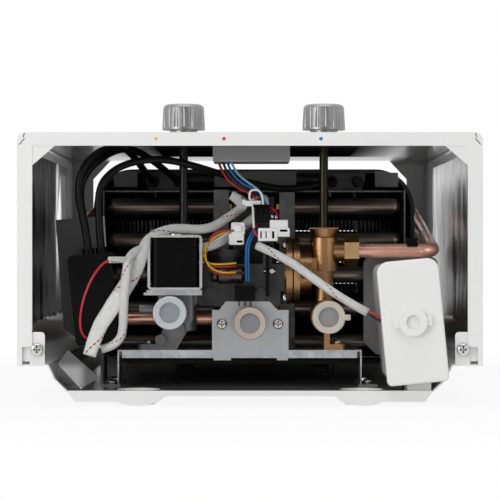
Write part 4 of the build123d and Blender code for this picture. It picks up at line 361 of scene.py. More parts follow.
# Painted shade: the left foil is a dark, dull copy of the right one, with bright metal kept at its far end.
shaded_foil = crumpled_foil("foil_left_painted_shade", (0.06, 0.06, 0.062), 0.24, 0.15, 0.5)
patch(shaded_foil, *FOIL_FAR_END, BRIGHT, 0.15, 1.0, soft=FOIL_FADE)
# Painted shade: the white front cover's inner face is dark grey and without shine, fading in along X.
for box in (COVER_NEAR, COVER_FAR):
    patch(white_paint, *box, INNER_PAINTED_SHADE, 0.4, 0.0, soft=COVER_SHADE_FADE, shine=0.0)
# Painted reflection: side strips of the white cover's inner face are made bright mirror metal so that they
# show the white around them.
for box in (COVER_LEFT, COVER_RIGHT):
    patch(white_paint, *box, BRIGHT, 0.12, 1.0)
chrome = surface("bright_screw", (0.66, 0.64, 0.61), 0.16, 1.0, 0.08, 300)
# Painted shade in the screws' recesses.
painted_crevice_shade(chrome, 0.0016)
galvanised = spangled("galvanised", (0.52, 0.53, 0.54), 0.3)
zinc = surface("zinc_plate", (0.5, 0.51, 0.52), 0.38, 1.0, 0.06, 60, (6, 6, 0.4), bump=0.2)
# The brackets are one steel; the left one is a darker copy of the right, as painted shade.
left_steel = surface("left_bracket_steel", (0.1, 0.1, 0.103), 0.5, 0.3, 0.06, 30)
right_steel = surface("right_bracket_steel", (0.3, 0.3, 0.305), 0.5, 0.45, 0.05, 30)
dark_steel = surface("chamber_steel", (0.02, 0.02, 0.021), 0.34, 0.6, 0.3, 20)
for low_x, high_x in CHAMBER_PALE_X:
    patch(dark_steel, (low_x, *CHAMBER_PALE_LOW), (high_x, *CHAMBER_PALE_HIGH), (0.17, 0.17, 0.175), 0.5, 0.3)
bar_steel = surface("burner_steel", (0.24, 0.205, 0.185), 0.24, 0.9, 0.25, 12, (0.3, 1, 4), bump=0.12)
sooty_copper = surface("sooty_fins", (0.022, 0.017, 0.014), 0.5, 0.4, 0.4, 40)
bright_steel = surface("bright_steel", (0.66, 0.66, 0.66), 0.25, 1.0, 0.05, 80)
dark_spindle = surface("gas_spindle_steel", (0.02, 0.02, 0.0205), 0.3, 0.9, 0.15, 120, (5, 5, 0.5), bump=0.3)
brass_spindle = surface("water_spindle_brass", (0.035, 0.03, 0.021), 0.28, 1.0, 0.12, 120, (5, 5, 0.5),
                        bump=0.25)
copper = surface("drawn_copper", (1.0, 0.52, 0.4), 0.26, 0.6, 0.08, 50, (1, 1, 1), 0.08, bump=0.1)
cast_brass = surface("cast_brass", (0.36, 0.2, 0.095), 0.3, 1.0, 0.12, 60, bump=0.3, bump_scale=700,
                     bump_size=0.0004)
turned_brass = surface("turned_brass", (0.66, 0.42, 0.2), 0.24, 1.0, 0.08, 120, bump=0.1)
cast_grey = surface("grey_casting", (0.15, 0.15, 0.152), 0.42, 0.75, 0.06, 60, bump=0.35, bump_scale=700,
                    bump_size=0.0004)
cast_dark = surface("dark_casting", (0.055, 0.055, 0.058), 0.36, 0.4, 0.3, 70, bump=0.4, bump_scale=500,
                    bump_size=0.0005, specular=0.25)
manifold_grey = spangled("manifold_plate", (0.05, 0.05, 0.051), 0.42)
frame_grey = spangled("frame_plate", (0.17, 0.17, 0.173), 0.42)
dark_bracket = surface("electrode_plate", (0.06, 0.06, 0.062), 0.42, 0.6, 0.15, 60)
glazed = surface("glazed_ceramic", (0.82, 0.81, 0.78), 0.2, 0.0, 0.03, 60)
rubber = surface("lead_rubber", (0.006, 0.006, 0.0062), 0.36, 0.0, 0.15, 80, bump=0.15, specular=0.14)
black_plastic = surface("black_plastic", (0.003, 0.003, 0.0035), 0.22, 0.0, 0.2, 60, bump=0.08, specular=0.1)
white_plastic = surface("white_plastic", (0.84, 0.84, 0.83), 0.3, 0.0, 0.012, 30, bump=0.05)
# Painted shade: the display housing is white plastic, given a mid grey.
display_painted_shade = surface("display_white_painted_shade", (0.34, 0.34, 0.34), 0.4, 0.0, 0.03, 30)
winding = surface("taped_winding", (0.002, 0.002, 0.0022), 0.3, 0.0, 0.25, 90, (1, 1, 6), bump=0.1,
                  specular=0.08)
cell_wrap = surface("cell_wrap", (0.1, 0.1, 0.11), 0.3, 0.6, 0.1, 40)
knob_silver = surface("knob_silver", (0.31, 0.31, 0.31), 0.4, 1.0, 0.08, 300, (0.3, 0.3, 5), bump=0.1,
                      bump_scale=900)
cap_polythene = polythene("cap_polythene", (0.86, 0.87, 0.89), 0.45, 0.3)
smoked = smoked_glass()
sleeve_braid = woven_sleeve()

NODE_MATERIALS = {
    white_paint: ["front_cover"],
    plate_paint: ["back_plate"],
    foil: ["right_foil_liner"],
    shaded_foil: ["left_foil_liner"],
    chrome: ["cover_screws", "frame_screws", "diaphragm_screws"],
    galvanised: ["chassis_rail", "solenoid_flange"],
    dark_bracket: ["electrode_bracket"],
    zinc: ["outlet_plate"],
    left_steel: ["left_bracket"],
    frame_grey: ["burner_frame"],
    right_steel: ["right_bracket"],
    sooty_copper: ["heat_exchanger_fins"],
    dark_steel: ["combustion_chamber", "flue_hood"],
    bar_steel: ["burner_bars"],
    bright_steel: ["solenoid_frame", "solenoid_plunger", "push_rod", "carry_handle"],
    dark_spindle: ["gas_spindle"],
    brass_spindle: ["water_spindle"],
    copper: ["heat_exchanger_tube", "cold_pipe", "hot_pipe"],
    cast_brass: ["water_valve_body", "diaphragm_cover", "hot_outlet"],
    turned_brass: ["union_nut", "gas_nozzles"],
    cast_grey: ["gas_valve_body"],
    cast_dark: ["linkage_housing"],
    manifold_grey: ["gas_manifold"],
    glazed: ["electrodes"],
    rubber: ["electrode_boots", "ignition_leads", "battery_gasket", "diaphragm"],
    black_plastic: ["igniter_box", "micro_switch", "pipe_clip", "switch_lever"],
    white_plastic: ["battery_case", "battery_lid", "battery_lock_knob", "wire_connectors"],
    display_painted_shade: ["display_housing"],
    winding: ["solenoid_coil"],
    cell_wrap: ["battery_cells"],
    knob_silver: ["gas_knob", "water_knob"],
    cap_polythene: ["gas_cap", "hot_cap", "cold_cap"],
    smoked: ["display_window"],
    sleeve_braid: ["left_sleeves", "right_sleeve", "harness_wires"],
}
for paint, names in NODE_MATERIALS.items():
    for name in names:
        slots = NODES[name].data.materials
        slots.clear()
        slots.append(paint.material)


# ---- Building blocks ----

def piece(name, mesh_or_curve, paint, body="casing"):
    """A new object with its material, riding on a body."""
    thing = bpy.data.objects.new(name, mesh_or_curve)
    bpy.context.scene.collection.objects.link(thing)
    mesh_or_curve.materials.append(paint.material)
    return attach(thing, body)


def nurbs(name, points, diameter=0.0, resolution=12):
    """A smooth curve whose control points are a lead's route."""
    curve = bpy.data.curves.new(name, "CURVE")
    curve.dimensions = "3D"
    curve.resolution_u = resolution
    spline = curve.splines.new("NURBS")
    spline.points.add(len(points) - 1)
    for target, point in zip(spline.points, points):
        target.co = (*at(*point), 1)
    spline.order_u = 3
    spline.use_endpoint_u = True
    curve.bevel_depth = diameter / 2000
    curve.bevel_resolution = 5
    curve.use_fill_caps = True
    return curve


def route_line(points):
    """Points along a route's smooth curve."""
    curve = nurbs("route", points)
    holder = bpy.data.objects.new("route", curve)
    mesh = bpy.data.meshes.new_from_object(holder)
    line = [vertex.co.copy() for vertex in mesh.vertices]
    bpy.data.objects.remove(holder)
    bpy.data.curves.remove(curve)
    bpy.data.meshes.remove(mesh)
    return line


def sleeve(name, points, widths, thicknesses):
    """Flattened braided tube along a route, with half widths and thicknesses from its start to its end."""
    line = route_line(points)
    lengths = [0.0]
    for before, after in zip(line, line[1:]):
        lengths.append(lengths[-1] + (after - before).length)
    total = lengths[-1]

    def between(values, share):
        place = share * (len(values) - 1)
        index = min(int(place), len(values) - 2)
        return values[index] + (values[index + 1] - values[index]) * (place - index)

    verts, faces, coordinates = [], [], []
    for index, point in enumerate(line):
        before, after = line[max(0, index - 1)], line[min(len(line) - 1, index + 1)]
        tangent = (after - before).normalized()
        side = tangent.cross(Vector((0, 1, 0))).normalized()
        up = side.cross(tangent)
        share = lengths[index] / total
        half_wide, half_thick = between(widths, share) / 1000, between(thicknesses, share) / 1000
        for step in range(TUBE_SIDES):
            angle = 2 * math.pi * step / TUBE_SIDES
            wrinkle = 1 + 0.03 * noise.noise(point * 130 + Vector((step * 0.4, 0, 0)))
            offset = side * (half_wide * math.cos(angle)) + up * (half_thick * math.sin(angle))
            verts.append(point + offset * wrinkle)
    for ring in range(len(line) - 1):
        for step in range(TUBE_SIDES):
            following = (step + 1) % TUBE_SIDES
            faces.append((ring * TUBE_SIDES + step, ring * TUBE_SIDES + following,
                          (ring + 1) * TUBE_SIDES + following, (ring + 1) * TUBE_SIDES + step))
            low, high = step / TUBE_SIDES, (step + 1) / TUBE_SIDES
            coordinates.append(((lengths[ring], low), (lengths[ring], high), (lengths[ring + 1], high),
                                (lengths[ring + 1], low)))
    for ring in (0, len(line) - 1):
        rim = [ring * TUBE_SIDES + step for step in range(TUBE_SIDES)]
        faces.append(tuple(rim if ring else rim[::-1]))
        coordinates.append(tuple((lengths[ring], 0.5) for _ in rim))
    mesh = bpy.data.meshes.new(name)
    mesh.from_pydata(verts, [], faces)
    layer = mesh.uv_layers.new(name="route")
    flat = [pair for face in coordinates for pair in face]
    for loop, pair in zip(layer.data, flat):
        loop.uv = pair
    for polygon in mesh.polygons:
        polygon.use_smooth = True
    return piece(name, mesh, sleeve_braid)


def finished_mesh(name, build, paint, body, split=40):
    """A piece from a bmesh: faces turned outwards, smooth, with creases at sharp edges."""
    bmesh.ops.recalc_face_normals(build, faces=build.faces)
    mesh = bpy.data.meshes.new(name)
    build.to_mesh(mesh)
    build.free()
    for polygon in mesh.polygons:
        polygon.use_smooth = True
    thing = piece(name, mesh, paint, body)
    thing.modifiers.new("edges", "EDGE_SPLIT").split_angle = math.radians(split)
    return thing


def moulding(name, blocks, bevel, paint, body="casing"):
    """Moulded part: blocks between pairs of drawn corners, each with rounded edges."""
    build = bmesh.new()
    for low, high in blocks:
        near, far = at(*low), at(*high)
        made = bmesh.ops.create_cube(build, size=1)
        for vertex in made["verts"]:
            vertex.co = (near + far) / 2 + Vector(c * (f - n) for c, n, f in zip(vertex.co, near, far))
        edges = {edge for vertex in made["verts"] for edge in vertex.link_edges}
        room = min(abs(f - n) for n, f in zip(near, far)) * 0.45
        bmesh.ops.bevel(build, geom=list(edges), offset=min(bevel / 1000, room), segments=3, profile=0.5,
                        affect="EDGES")
    return finished_mesh(name, build, paint, body)


def turned_cap(name, centre, ring, disc, body):
    """Push-on cap: rolled rim, ring face and a disc set back in the port."""
    disc_radius = 6.8
    profile = [(11.03, 13.2), (11.03, 0.9), (10.75, 0.25), (10.3, 0.0), (9.9, 0.12), (9.3, 0.42),
               (7.7, 0.42), (7.1, 0.6), (disc_radius, 1.1), (6.6, 2.3), (6.2, 2.38), (3.0, 2.3),
               (0.05, 2.3), (0.05, 2.75), (6.75, 2.75), (6.9, 1.15), (10.5, 1.15), (10.53, 13.2)]
    build = bmesh.new()
    rings = []
    for step in range(ROUND_SIDES):
        angle = 2 * math.pi * step / ROUND_SIDES
        across, up = math.cos(angle), math.sin(angle)
        rings.append([build.verts.new(at(centre[0] + radius * across, centre[1] + depth,
                                         centre[2] + radius * up)) for radius, depth in profile])
    for here, following in zip(rings, rings[1:] + rings[:1]):
        for index in range(len(profile)):
            after = (index + 1) % len(profile)
            face = build.faces.new((here[index], following[index], following[after], here[after]))
            face.material_index = int(max(profile[index][0], profile[after][0]) < disc_radius)
    thing = finished_mesh(name, build, ring, body, 50)
    thing.data.materials.append(disc.material)
    return thing


# ---- Foil on the side walls ----

def foil_sheet(name, side):
    """Crumpled foil against a side wall, with a torn lower edge."""
    columns, rows = 90, 34
    verts, faces = [], []
    for column in range(columns + 1):
        y = FOIL_RANGE_Y[0] + (FOIL_RANGE_Y[1] - FOIL_RANGE_Y[0]) * column / columns
        torn = TEAR_BROAD * noise.noise(Vector((y * 0.06, side * 3.1, 0)))
        torn += TEAR_FINE * noise.noise(Vector((y * 0.35, 8, 0)))
        low = FOIL_RANGE_Z[0] + FOIL_LIFT + torn
        for row in range(rows + 1):
            z = low + (FOIL_RANGE_Z[1] - low) * row / rows
            height = abs(noise.noise(Vector((y * 0.03, z * 0.012, side * 5)))) * 0.8
            height += noise.noise(Vector((y * 0.09, z * 0.04, side * 9))) * 0.1 + 0.1
            x = side * (INNER_WALL_X - FOIL_GAP - min(FOIL_DEPTH, FOIL_DEPTH * height))
            verts.append(at(x, y, z))
    for column in range(columns):
        for row in range(rows):
            start = column * (rows + 1) + row
            quad = (start, start + 1, start + rows + 2, start + rows + 1)
            faces.append(quad if side < 0 else quad[::-1])
    mesh = bpy.data.meshes.new(name)
    mesh.from_pydata(verts, [], faces)
    for polygon in mesh.polygons:
        polygon.use_smooth = True
    return piece(name, mesh, shaded_foil if side < 0 else foil)


for side, word in ((-1, "left"), (1, "right")):
    sheet_piece = foil_sheet(f"{word}_foil_crumpled", side)
    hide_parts(f"{word}_foil_liner")

# ---- Caps ----

CAPS = [("gas_cap", (-53.2, -8.2, 61.9), (0.84, 0.85, 0.88), (0.62, 0.62, 0.65), "gas_cover_cap"),
        ("hot_cap", (0, 29.8, 53.5), (0.86, 0.74, 0.66), (0.6, 0.56, 0.6), "hot_cover_cap"),
        ("cold_cap", (52.9, 8.8, 58.4), (0.87, 0.8, 0.72), (0.6, 0.56, 0.56), "cold_cover_cap")]
TAB_START, TAB_END, TAB_HALF, TAB_DEPTH = 10.6, 14.5, 2, 3
for name, centre, ring_color, disc_color, body in CAPS:
    ring = polythene(f"{name}_ring", ring_color, 0.5, 0.22)
    disc = polythene(f"{name}_disc", disc_color, 0.6, 0.2)
    cap_piece = turned_cap(f"{name}_turned", centre, ring, disc, body)
    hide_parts(name)
    if name == "cold_cap":
        x, y, z = centre
        low, high = (x + TAB_START, y, z - TAB_HALF), (x + TAB_END, y + TAB_DEPTH, z + TAB_HALF)
        moulding("cold_cap_tab", [(low, high)], 0.8, ring, body)

# ---- Sleeves, leads and wires, along the CAD's routes ----

FIRST_STRAND = [(-4.9, 64, 133.5), (-19.3, 54, 122.9), (-31, 44, 117), (-53.4, 41, 119), (-69, 39, 112),
                seen(142.6, 252, 33), seen(135.7, 271, 25), seen(109, 312, 13), seen(97, 330, 9),
                seen(89.3, 355.5, 5)]
SECOND_STRAND = [(3.2, 68, 126.4), (-13, 58, 112.8), (-31, 42.5, 104.5), (-50, 41, 104), (-67, 38, 105.5),
                 seen(131.4, 252, 30), seen(126.3, 269.4, 18), seen(123.7, 304, 14), seen(123, 332, 14),
                 seen(118.5, 341, 13.8), seen(110.6, 347, 13.5), seen(101, 349.4, 13)]
BRANCH = [(-84.4, 22.2, 97), (-89.7, 19.6, 97), (-95, 17, 97)]
RIGHT_SLEEVE = [(5, 37.5, 106.6), (24, 27, 98.2), (41, 21, 85.7), (61.6, 14, 70.9), (79, 14, 61.6)]
SLEEVE_END = [seen(231, 195, 60), seen(239, 199, 60), seen(247, 207, 62)]


def declare(points):
    """Builds the smooth line along a lead's route, and nothing more."""
    line = route_line(points)


first_strand = sleeve("sleeve_first", FIRST_STRAND, (3.1, 3.1, 3.2, 3.5, 4.2, 5.4, 5.6, 5.0, 4.4),
                      (3.1, 3.0, 3.0, 2.6, 2.3, 2.0, 2.0, 2.0, 2.2))
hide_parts("left_sleeves")
second_strand = sleeve("sleeve_second", SECOND_STRAND, (3.3, 3.3, 3.2, 3.2, 3.0, 2.8),
                       (3.2, 3.0, 2.8, 2.6, 2.6, 2.6))
sleeve("sleeve_branch", BRANCH, (2.2, 2.2), (2.1, 2.1))
sleeve("sleeve_end", SLEEVE_END, (3.0, 4.0, 3.4), (3.0, 3.4, 3.2))
right_strand = sleeve("sleeve_right", RIGHT_SLEEVE, (2.85, 2.85), (2.75, 2.75))
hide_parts("right_sleeve")
declare(FIRST_STRAND)
declare(SECOND_STRAND)
declare(RIGHT_SLEEVE)


def insulation(name, color):
    return surface(f"wire_{name}", color, 0.34, 0.0, 0.06, 120, bump=0.05)


wire_red = insulation("red", (0.42, 0.012, 0.026))
wire_black = insulation("black", (0.012, 0.012, 0.012))
wire_blue = insulation("blue", (0.01, 0.13, 0.38))
wire_pale = insulation("pale_blue", (0.3, 0.5, 0.68))
wire_yellow = insulation("yellow", (0.85, 0.52, 0.02))
wire_white = insulation("white", (0.78, 0.78, 0.76))
DISPLAY_Z = FRONT_Z - FRONT_WALL - DISPLAY_DEPTH
WIRES = [
    ("display_wire_red", wire_red, 1.8,
     [(-21.75, 66, DISPLAY_Z), (-18.75, 64, 156), (-9.75, 61, 147), (4, 52, 141), (6.5, 50, 134.7)]),
    ("display_wire_black", wire_black, 1.8,
     [(-18.75, 66, DISPLAY_Z), (-15.75, 64, 156), (-6.75, 61, 147.5), (6.5, 52, 142), (9, 50, 134.7)]),
    ("display_wire_blue", wire_blue, 1.8,
     [(-15.75, 66, DISPLAY_Z), (-12.75, 64, 156), (-3.75, 61, 148.5), (9, 52, 143), (11.5, 50, 134.7)]),
    ("display_wire_pale", wire_pale, 1.6,
     [(-13, 66, DISPLAY_Z), (-9.5, 64, 157), (-1, 58, 150), (8, 51, 144), (12.6, 49, 134.7)]),
    ("harness_wire_white", wire_white, 1.8,
     [(-4.4, 64.4, 133.9), (2, 66, 139), (7, 60, 141), (12, 53.5, 141), (12, 53.5, 134.7)]),
    ("tie_strand_white", wire_white, 1.7,
     [seen(252.9, 204, 47), seen(253, 214, 43.5), seen(253.8, 228, 40)]),
    ("plug_wire_red", wire_red, 1.8,
     [(4.6, 47.5, 121), seen(252.6, 226, 42), seen(256, 236, 38), (7, 40, 112)]),
    ("loop_wire_yellow", wire_yellow, 1.4,
     [seen(238, 228, 45), seen(213, 235, 40), seen(204, 250, 36), seen(206, 264, 36), seen(217, 272, 38),
      seen(230, 273, 42), seen(242, 272, 50)]),
    ("loop_wire_red", wire_red, 1.4,
     [seen(238, 231, 44), seen(217, 229, 38), seen(206, 245, 38), seen(206, 268, 38), seen(221, 276, 39),
      seen(242, 274, 50)]),
    ("second_wire_yellow", wire_yellow, 1.4,
     [seen(203, 254, 43), seen(204, 263, 40), seen(220, 265, 38), seen(236, 263, 46)]),
    ("second_wire_red", wire_red, 1.4,
     [seen(203, 257, 43), seen(205, 266, 40), seen(220, 267.5, 38), seen(236, 266, 46)]),
    ("switch_wire_blue", wire_blue, 1.5,
     [(2.6, 44, 117.2), seen(247, 240, 41), seen(245.4, 256, 39), seen(246.4, 281, 44)]),
    ("switch_wire_blue_two", wire_blue, 1.5,
     [(4.4, 44, 116.8), seen(249.5, 240, 41), seen(247.9, 256, 39), seen(248.9, 281, 44)]),
    ("switch_wire_white", wire_white, 1.2, [seen(228, 233, 45), seen(219, 237, 41), seen(210, 245, 43)]),
    ("terminal_wire_red", wire_red, 1.6, [seen(268, 208, 50), seen(278, 209, 47), seen(277, 217, 44)]),
    ("igniter_wire_red", wire_red, 1.8,
     [(-91, 18.97, 97), (-96.5, 16.26, 97), (-104, 14, 88.7), (-110, 13.5, 76.7), (-114, 13.5, 62),
      (-114, 14, 48.4), (-108, 14.5, 42.5), (-102, 15.5, 43.5), (-101, 19.4, 45)]),
    ("battery_wire_red", wire_red, 1.8, [(80.2, 12.5, 61.9), (83.5, 10, 60.5), (87.9, 10, 58.5)]),
    ("battery_wire_black", wire_black, 1.8, [(80.2, 15.2, 60.4), (84, 14, 57.4), (88.1, 14, 56)]),
]
for number, (name, paint, diameter, points) in enumerate(WIRES):
    wire = piece(name, nurbs(name, points, diameter), paint)
    if number == 0:
        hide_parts("harness_wires")
    line = route_line(points)
    if sum((after - before).length for before, after in zip(line, line[1:])) >= SHORTEST_CORD:
        declare(points)

# ---- Regulator barrel in front of the linkage housing ----

def barrel(name, start, end_x, radii, paint):
    """Turned part along X from a drawn place to an X, its radius given from start to end."""
    angles = [2 * math.pi * step / ROUND_SIDES for step in range(ROUND_SIDES)]
    build = bmesh.new()
    rings = []
    for number, radius in enumerate(radii):
        share = number / (len(radii) - 1)
        x = start[0] + (end_x - start[0]) * share
        rings.append([build.verts.new(at(x, start[1] + radius * math.cos(angle),
                                         start[2] + radius * math.sin(angle))) for angle in angles])
    for here, following in zip(rings, rings[1:]):
        for step in range(ROUND_SIDES):
            after = (step + 1) % ROUND_SIDES
            build.faces.new((here[step], here[after], following[after], following[step]))
    build.faces.new(rings[0])
    build.faces.new(rings[-1])
    return finished_mesh(name, build, paint, "casing", 30)


bronze_lacquer = surface("bronze_lacquer", (0.06, 0.04, 0.03), 0.2, 0.7, 0.15, 60, coat=0.4)
barrel("regulator_barrel", (-27, 51, 86.6), -4,
       (4.6, 5.4, 5.4, 6.6, 6.6, 6.6, 6.6, 6.6, 5.8, 5.8, 6.4, 6.4, 5.2), bronze_lacquer)

# ---- Connectors and ties ----

long_plug = moulding("harness_plug_long", [
    ((5.5, 36, 109.6), (18.8, 45.5, 118.6)), ((18, 37, 112.6), (27.2, 44.5, 118.8)),
    ((13.5, 39, 118), (26, 44, 124.2)), ((8, 35.4, 111.5), (10, 36.5, 117)),
    ((12, 35.4, 111.5), (14, 36.5, 117)), ((20, 36.4, 114), (26, 37.5, 115.4))], 0.7, white_plastic)
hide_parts("wire_connectors")
moulding("harness_plug_square", [
    ((-14.6, 42, 107), (-4, 49, 115)), ((-13, 43, 114), (-3.4, 49, 122.6)),
    ((-11, 41.4, 116), (-5.5, 43.4, 121)), ((-14, 41.4, 109), (-9, 42.6, 113))], 1.1, white_plastic)
moulding("display_plug_black", [
    ((2.1, 45, 122.8), (13.6, 55, 134.9)), ((3.4, 44.2, 124.5), (5.2, 45.4, 133)),
    ((7, 44.2, 124.5), (8.8, 45.4, 133)), ((10.6, 44.2, 124.5), (12.2, 45.4, 133))], 0.6, black_plastic)
moulding("plug_terminals", [
    ((14.6, 43.5, 125.6), (16.2, 47, 127.6)), ((17.2, 43.5, 125.2), (18.8, 47, 127.2))], 0.3, bright_steel)
moulding("cable_tie_band", [
    ((-3.6, 47.4, 133.6), (7.8, 50.4, 137.6)), ((-5.4, 48.6, 134.6), (-2.6, 51, 138.4))], 0.8, white_plastic)
# Painted shade: black blocks on the plugs' faces stand for their shaded openings.
moulding("plug_cavity_painted_shade", [
    ((7, 35.85, 111.5), (8, 36.4, 116.4)), ((10.6, 35.85, 111.5), (11.4, 36.4, 116.4)),
    ((15, 35.85, 111.5), (16.6, 36.4, 116.4)), ((20.4, 36.85, 116), (25.6, 37.4, 117.6)),
    ((-13, 41.85, 109.6), (-10.4, 42.4, 112.4)), ((-9, 41.85, 108.6), (-5, 42.4, 110.2))], 0.2,
         black_plastic)
STRAP = [seen(250, 200, 50), seen(248, 191, 50), seen(258, 189, 49), seen(263, 196, 48), seen(263, 206, 46)]
piece("cable_tie_strap", nurbs("cable_tie_strap", STRAP, TIE_DIAMETER), white_plastic)

LEAD_ROUTES = {
    "ignition_lead_outer": [
        (-117, 27, 141), (-115, 27, 157), (-105, 32, 170), (-92, 50, 175.5), (-84, 78, 173)],
    "ignition_lead_middle": [
        (-117, 39, 141), (-113, 40, 156), (-101, 46, 168), (-88, 66, 175), (-75, 86, 172)],
    "ignition_lead_sensor": [
        (-104, 35, 146), (-93, 39, 159), (-77, 42, 165), (-58, 43, 166), (-38, 50, 161.5),
        (-20, 72, 156.5), (6, 86, 149), (30, 98, 146)],
}
PORTS = [((-109.8, 29, 102.1), (-111.1, 29, 114.8)), ((-110.3, 40, 102.0), (-111.6, 40, 114.8)),
         ((-101.4, 34.5, 102.9), (-102.7, 34.5, 115.7))]
BOOT_X = (-71.0, -52.2, 60.2)
BOOT_Z = 153.6
for (name, middle), port, boot_x in zip(LEAD_ROUTES.items(), PORTS, BOOT_X):
    points = [*port, *middle, (boot_x, 114, BOOT_Z), (boot_x, 126, BOOT_Z)]
    lead_piece = piece(name, nurbs(name, points, LEAD_DIAMETER), rubber)
    declare(points)
    if name == "ignition_lead_outer":
        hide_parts("ignition_leads")


# ---- Coloured marks on the front flange ----

def mark(name, x, paint):
    """A small printed dot: a thin domed disc on the flange's face."""
    z, y, radius = 177.6, -0.02, 1.25
    verts = [at(x, y - 0.06, z)]
    verts += [at(x + radius * math.cos(a), y, z + radius * math.sin(a))
              for a in (2 * math.pi * n / MARK_SIDES for n in range(MARK_SIDES))]
    faces = [(0, n + 1, (n + 1) % MARK_SIDES + 1) for n in range(MARK_SIDES)]
    mesh = bpy.data.meshes.new(name)
    mesh.from_pydata(verts, [], faces)
    return piece(name, mesh, paint)


mark("gas_mark", -62.5, insulation("mark_yellow", (0.8, 0.55, 0.05)))
mark("hot_mark", -17.3, insulation("mark_red", (0.6, 0.04, 0.09)))
mark("cold_mark", 47.2, insulation("mark_blue", (0.02, 0.2, 0.5)))


def strip(name, line, width, paint):
    """Narrow skin in front of a sheet, along a line of drawn places, as wide as given towards +X and +Z."""
    build = bmesh.new()
    pairs = []
    for x, y, z in line:
        pairs.append((build.verts.new(at(x, y, z)), build.verts.new(at(x + width[0], y, z + width[1]))))
    for here, following in zip(pairs, pairs[1:]):
        build.faces.new((here[0], here[1], following[1], following[0]))
    return finished_mesh(name, build, paint, "casing")


MITRE = [(149.6, 181.2), (150.6, 178.9), (149.8, 177.4), (151.6, 175.6), (152.4, 174.2), (153.6, 173.6)]
MITRE_Y = -0.05
EDGE_HIGHLIGHT_LINE = [(-102.1, 61.93, 127), (-98.3, 61.93, 72.3), (-98.3, 61.93, 43)]
for side, word in ((-1, "left"), (1, "right")):
    mitre = [(side * x, MITRE_Y, z) for x, z in MITRE]
    strip(f"mitre_line_{word}", mitre, (side * MITRE_WIDTH[0], MITRE_WIDTH[1]), left_steel)
# Painted highlight: a pale strip along the left bracket's edge, where it catches the light.
painted_edge_highlight = surface("painted_edge_highlight", (0.7, 0.7, 0.7), 0.5)
strip("bracket_painted_edge_highlight", EDGE_HIGHLIGHT_LINE, (EDGE_HIGHLIGHT_WIDTH, 0), painted_edge_highlight)

# ---- Smooth normals on the CAD nodes ----

for thing in NODES.values():
    for polygon in thing.data.polygons:
        polygon.use_smooth = True
    modifier = thing.modifiers.new("edges", "EDGE_SPLIT")
    modifier.split_angle = math.radians(NODE_CREASE)

# ---- Stage, light and camera ----

def picture_rays(nodes, links):
    """The light path's node, and a node that gives one for camera, glossy and transmission rays."""
    path = nodes.new("ShaderNodeLightPath")
    mirror = nodes.new("ShaderNodeMath")
    mirror.operation = "MAXIMUM"
    links.new(path.outputs["Is Glossy Ray"], mirror.inputs[0])
    links.new(path.outputs["Is Transmission Ray"], mirror.inputs[1])
    every = nodes.new("ShaderNodeMath")
    every.operation = "MAXIMUM"
    links.new(path.outputs["Is Camera Ray"], every.inputs[0])
    links.new(mirror.outputs[0], every.inputs[1])
    return path, every


def spread(nodes, links, source, start, end, low, high):
    """A value that goes from low to high while its source goes from start to end."""
    change = nodes.new("ShaderNodeMapRange")
    change.interpolation_type = "SMOOTHSTEP"
    for name, value in (("From Min", start), ("From Max", end), ("To Min", low), ("To Max", high)):
        change.inputs[name].default_value = value
    links.new(source, change.inputs["Value"])
    return change.outputs["Result"]


def stage_floor():
    """Pale floor that the camera, metal and glass see as white, with the object's soft shadow near it."""
    corners = [(x * FLOOR_HALF, y * FLOOR_HALF, FLOOR_Z) for x, y in ((-1, -1), (1, -1), (1, 1), (-1, 1))]
    mesh = bpy.data.meshes.new("floor")
    mesh.from_pydata(corners, [], [(0, 1, 2, 3)])
    thing = bpy.data.objects.new("floor", mesh)
    bpy.context.scene.collection.objects.link(thing)
    material = bpy.data.materials.new("floor_white")
    mesh.materials.append(material)
    material.use_nodes = True
    nodes, links = material.node_tree.nodes, material.node_tree.links
    nodes.clear()
    out = nodes.new("ShaderNodeOutputMaterial")
    diffuse = nodes.new("ShaderNodeBsdfDiffuse")
    diffuse.inputs["Color"].default_value = (0.8, 0.8, 0.8, 1)
    glow = nodes.new("ShaderNodeEmission")
    glow.inputs["Color"].default_value = (1, 1, 1, 1)
    glow.inputs["Strength"].default_value = STUDIO_WHITE
    place = nodes.new("ShaderNodeTexCoord")
    reach = nodes.new("ShaderNodeVectorMath")
    reach.operation = "LENGTH"
    links.new(place.outputs["Object"], reach.inputs[0])
    whiteness = spread(nodes, links, reach.outputs["Value"], FLOOR_NEAR, FLOOR_FAR, FLOOR_WHITE_NEAR, 1.0)
    every = picture_rays(nodes, links)[1]
    share = nodes.new("ShaderNodeMath")
    share.operation = "MULTIPLY"
    links.new(every.outputs[0], share.inputs[0])
    links.new(whiteness, share.inputs[1])
    mix = nodes.new("ShaderNodeMixShader")
    links.new(share.outputs[0], mix.inputs["Fac"])
    links.new(diffuse.outputs[0], mix.inputs[1])
    links.new(glow.outputs[0], mix.inputs[2])
    links.new(mix.outputs[0], out.inputs["Surface"])


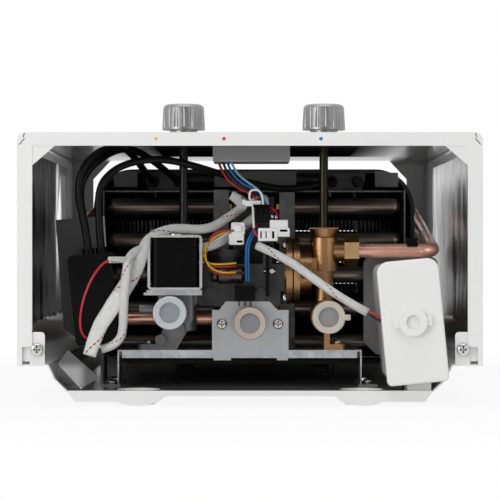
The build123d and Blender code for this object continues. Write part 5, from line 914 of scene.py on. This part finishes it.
def studio_world():
    """White to the camera and behind the object, dim in metal and glass on the camera's side."""
    world = bpy.data.worlds.new("studio")
    bpy.context.scene.world = world
    world.use_nodes = True
    nodes, links = world.node_tree.nodes, world.node_tree.links
    nodes.clear()
    out = nodes.new("ShaderNodeOutputWorld")
    soft = nodes.new("ShaderNodeBackground")
    soft.inputs["Color"].default_value = (1, 1, 1, 1)
    soft.inputs["Strength"].default_value = AMBIENT
    white = nodes.new("ShaderNodeBackground")
    white.inputs["Color"].default_value = (1, 1, 1, 1)
    direction = nodes.new("ShaderNodeTexCoord")
    parts = nodes.new("ShaderNodeSeparateXYZ")
    links.new(direction.outputs["Generated"], parts.inputs[0])
    mirrored = spread(nodes, links, parts.outputs["Y"], *MIRROR_FADE, CAMERA_SIDE, STUDIO_WHITE)
    path, every = picture_rays(nodes, links)
    strength = nodes.new("ShaderNodeMath")
    strength.operation = "MAXIMUM"
    links.new(mirrored, strength.inputs[0])
    links.new(path.outputs["Is Camera Ray"], strength.inputs[1])
    links.new(strength.outputs[0], white.inputs["Strength"])
    mix = nodes.new("ShaderNodeMixShader")
    links.new(every.outputs[0], mix.inputs["Fac"])
    links.new(soft.outputs[0], mix.inputs[1])
    links.new(white.outputs[0], mix.inputs[2])
    links.new(mix.outputs[0], out.inputs["Surface"])


def softbox(name, place, size, power):
    """Lamp at a place, of a size in metres and a power in watts, aimed at the object."""
    light = bpy.data.lights.new(name, "AREA")
    light.shape = "RECTANGLE"
    light.size, light.size_y = size
    light.energy = power
    thing = bpy.data.objects.new(name, light)
    bpy.context.scene.collection.objects.link(thing)
    thing.location = place
    thing.rotation_mode = "QUATERNION"
    thing.rotation_quaternion = (Vector(LAMP_AIM) - Vector(place)).to_track_quat("-Z", "Y")


stage_floor()
studio_world()
softbox("overhead", (0.0, -0.6, 1.7), (1.6, 1.6), 13)
softbox("left_front", (-1.2, -1.5, 0.5), (0.9, 0.8), 11)
softbox("right_front", (1.3, -1.4, 0.7), (0.8, 1.2), 4)

camera_data = bpy.data.cameras.new("camera")
camera_data.sensor_width = SENSOR
camera_data.lens = SENSOR * -CAMERA_Y / FRAME_WIDTH
camera_data.clip_start = 0.05
camera = bpy.data.objects.new("camera", camera_data)
bpy.context.scene.collection.objects.link(camera)
camera.location = at(0, CAMERA_Y, CAMERA_Z)
camera.rotation_euler = (math.radians(90), 0, 0)
bpy.context.scene.camera = camera
bpy.context.scene.view_settings.view_transform = "Standard"
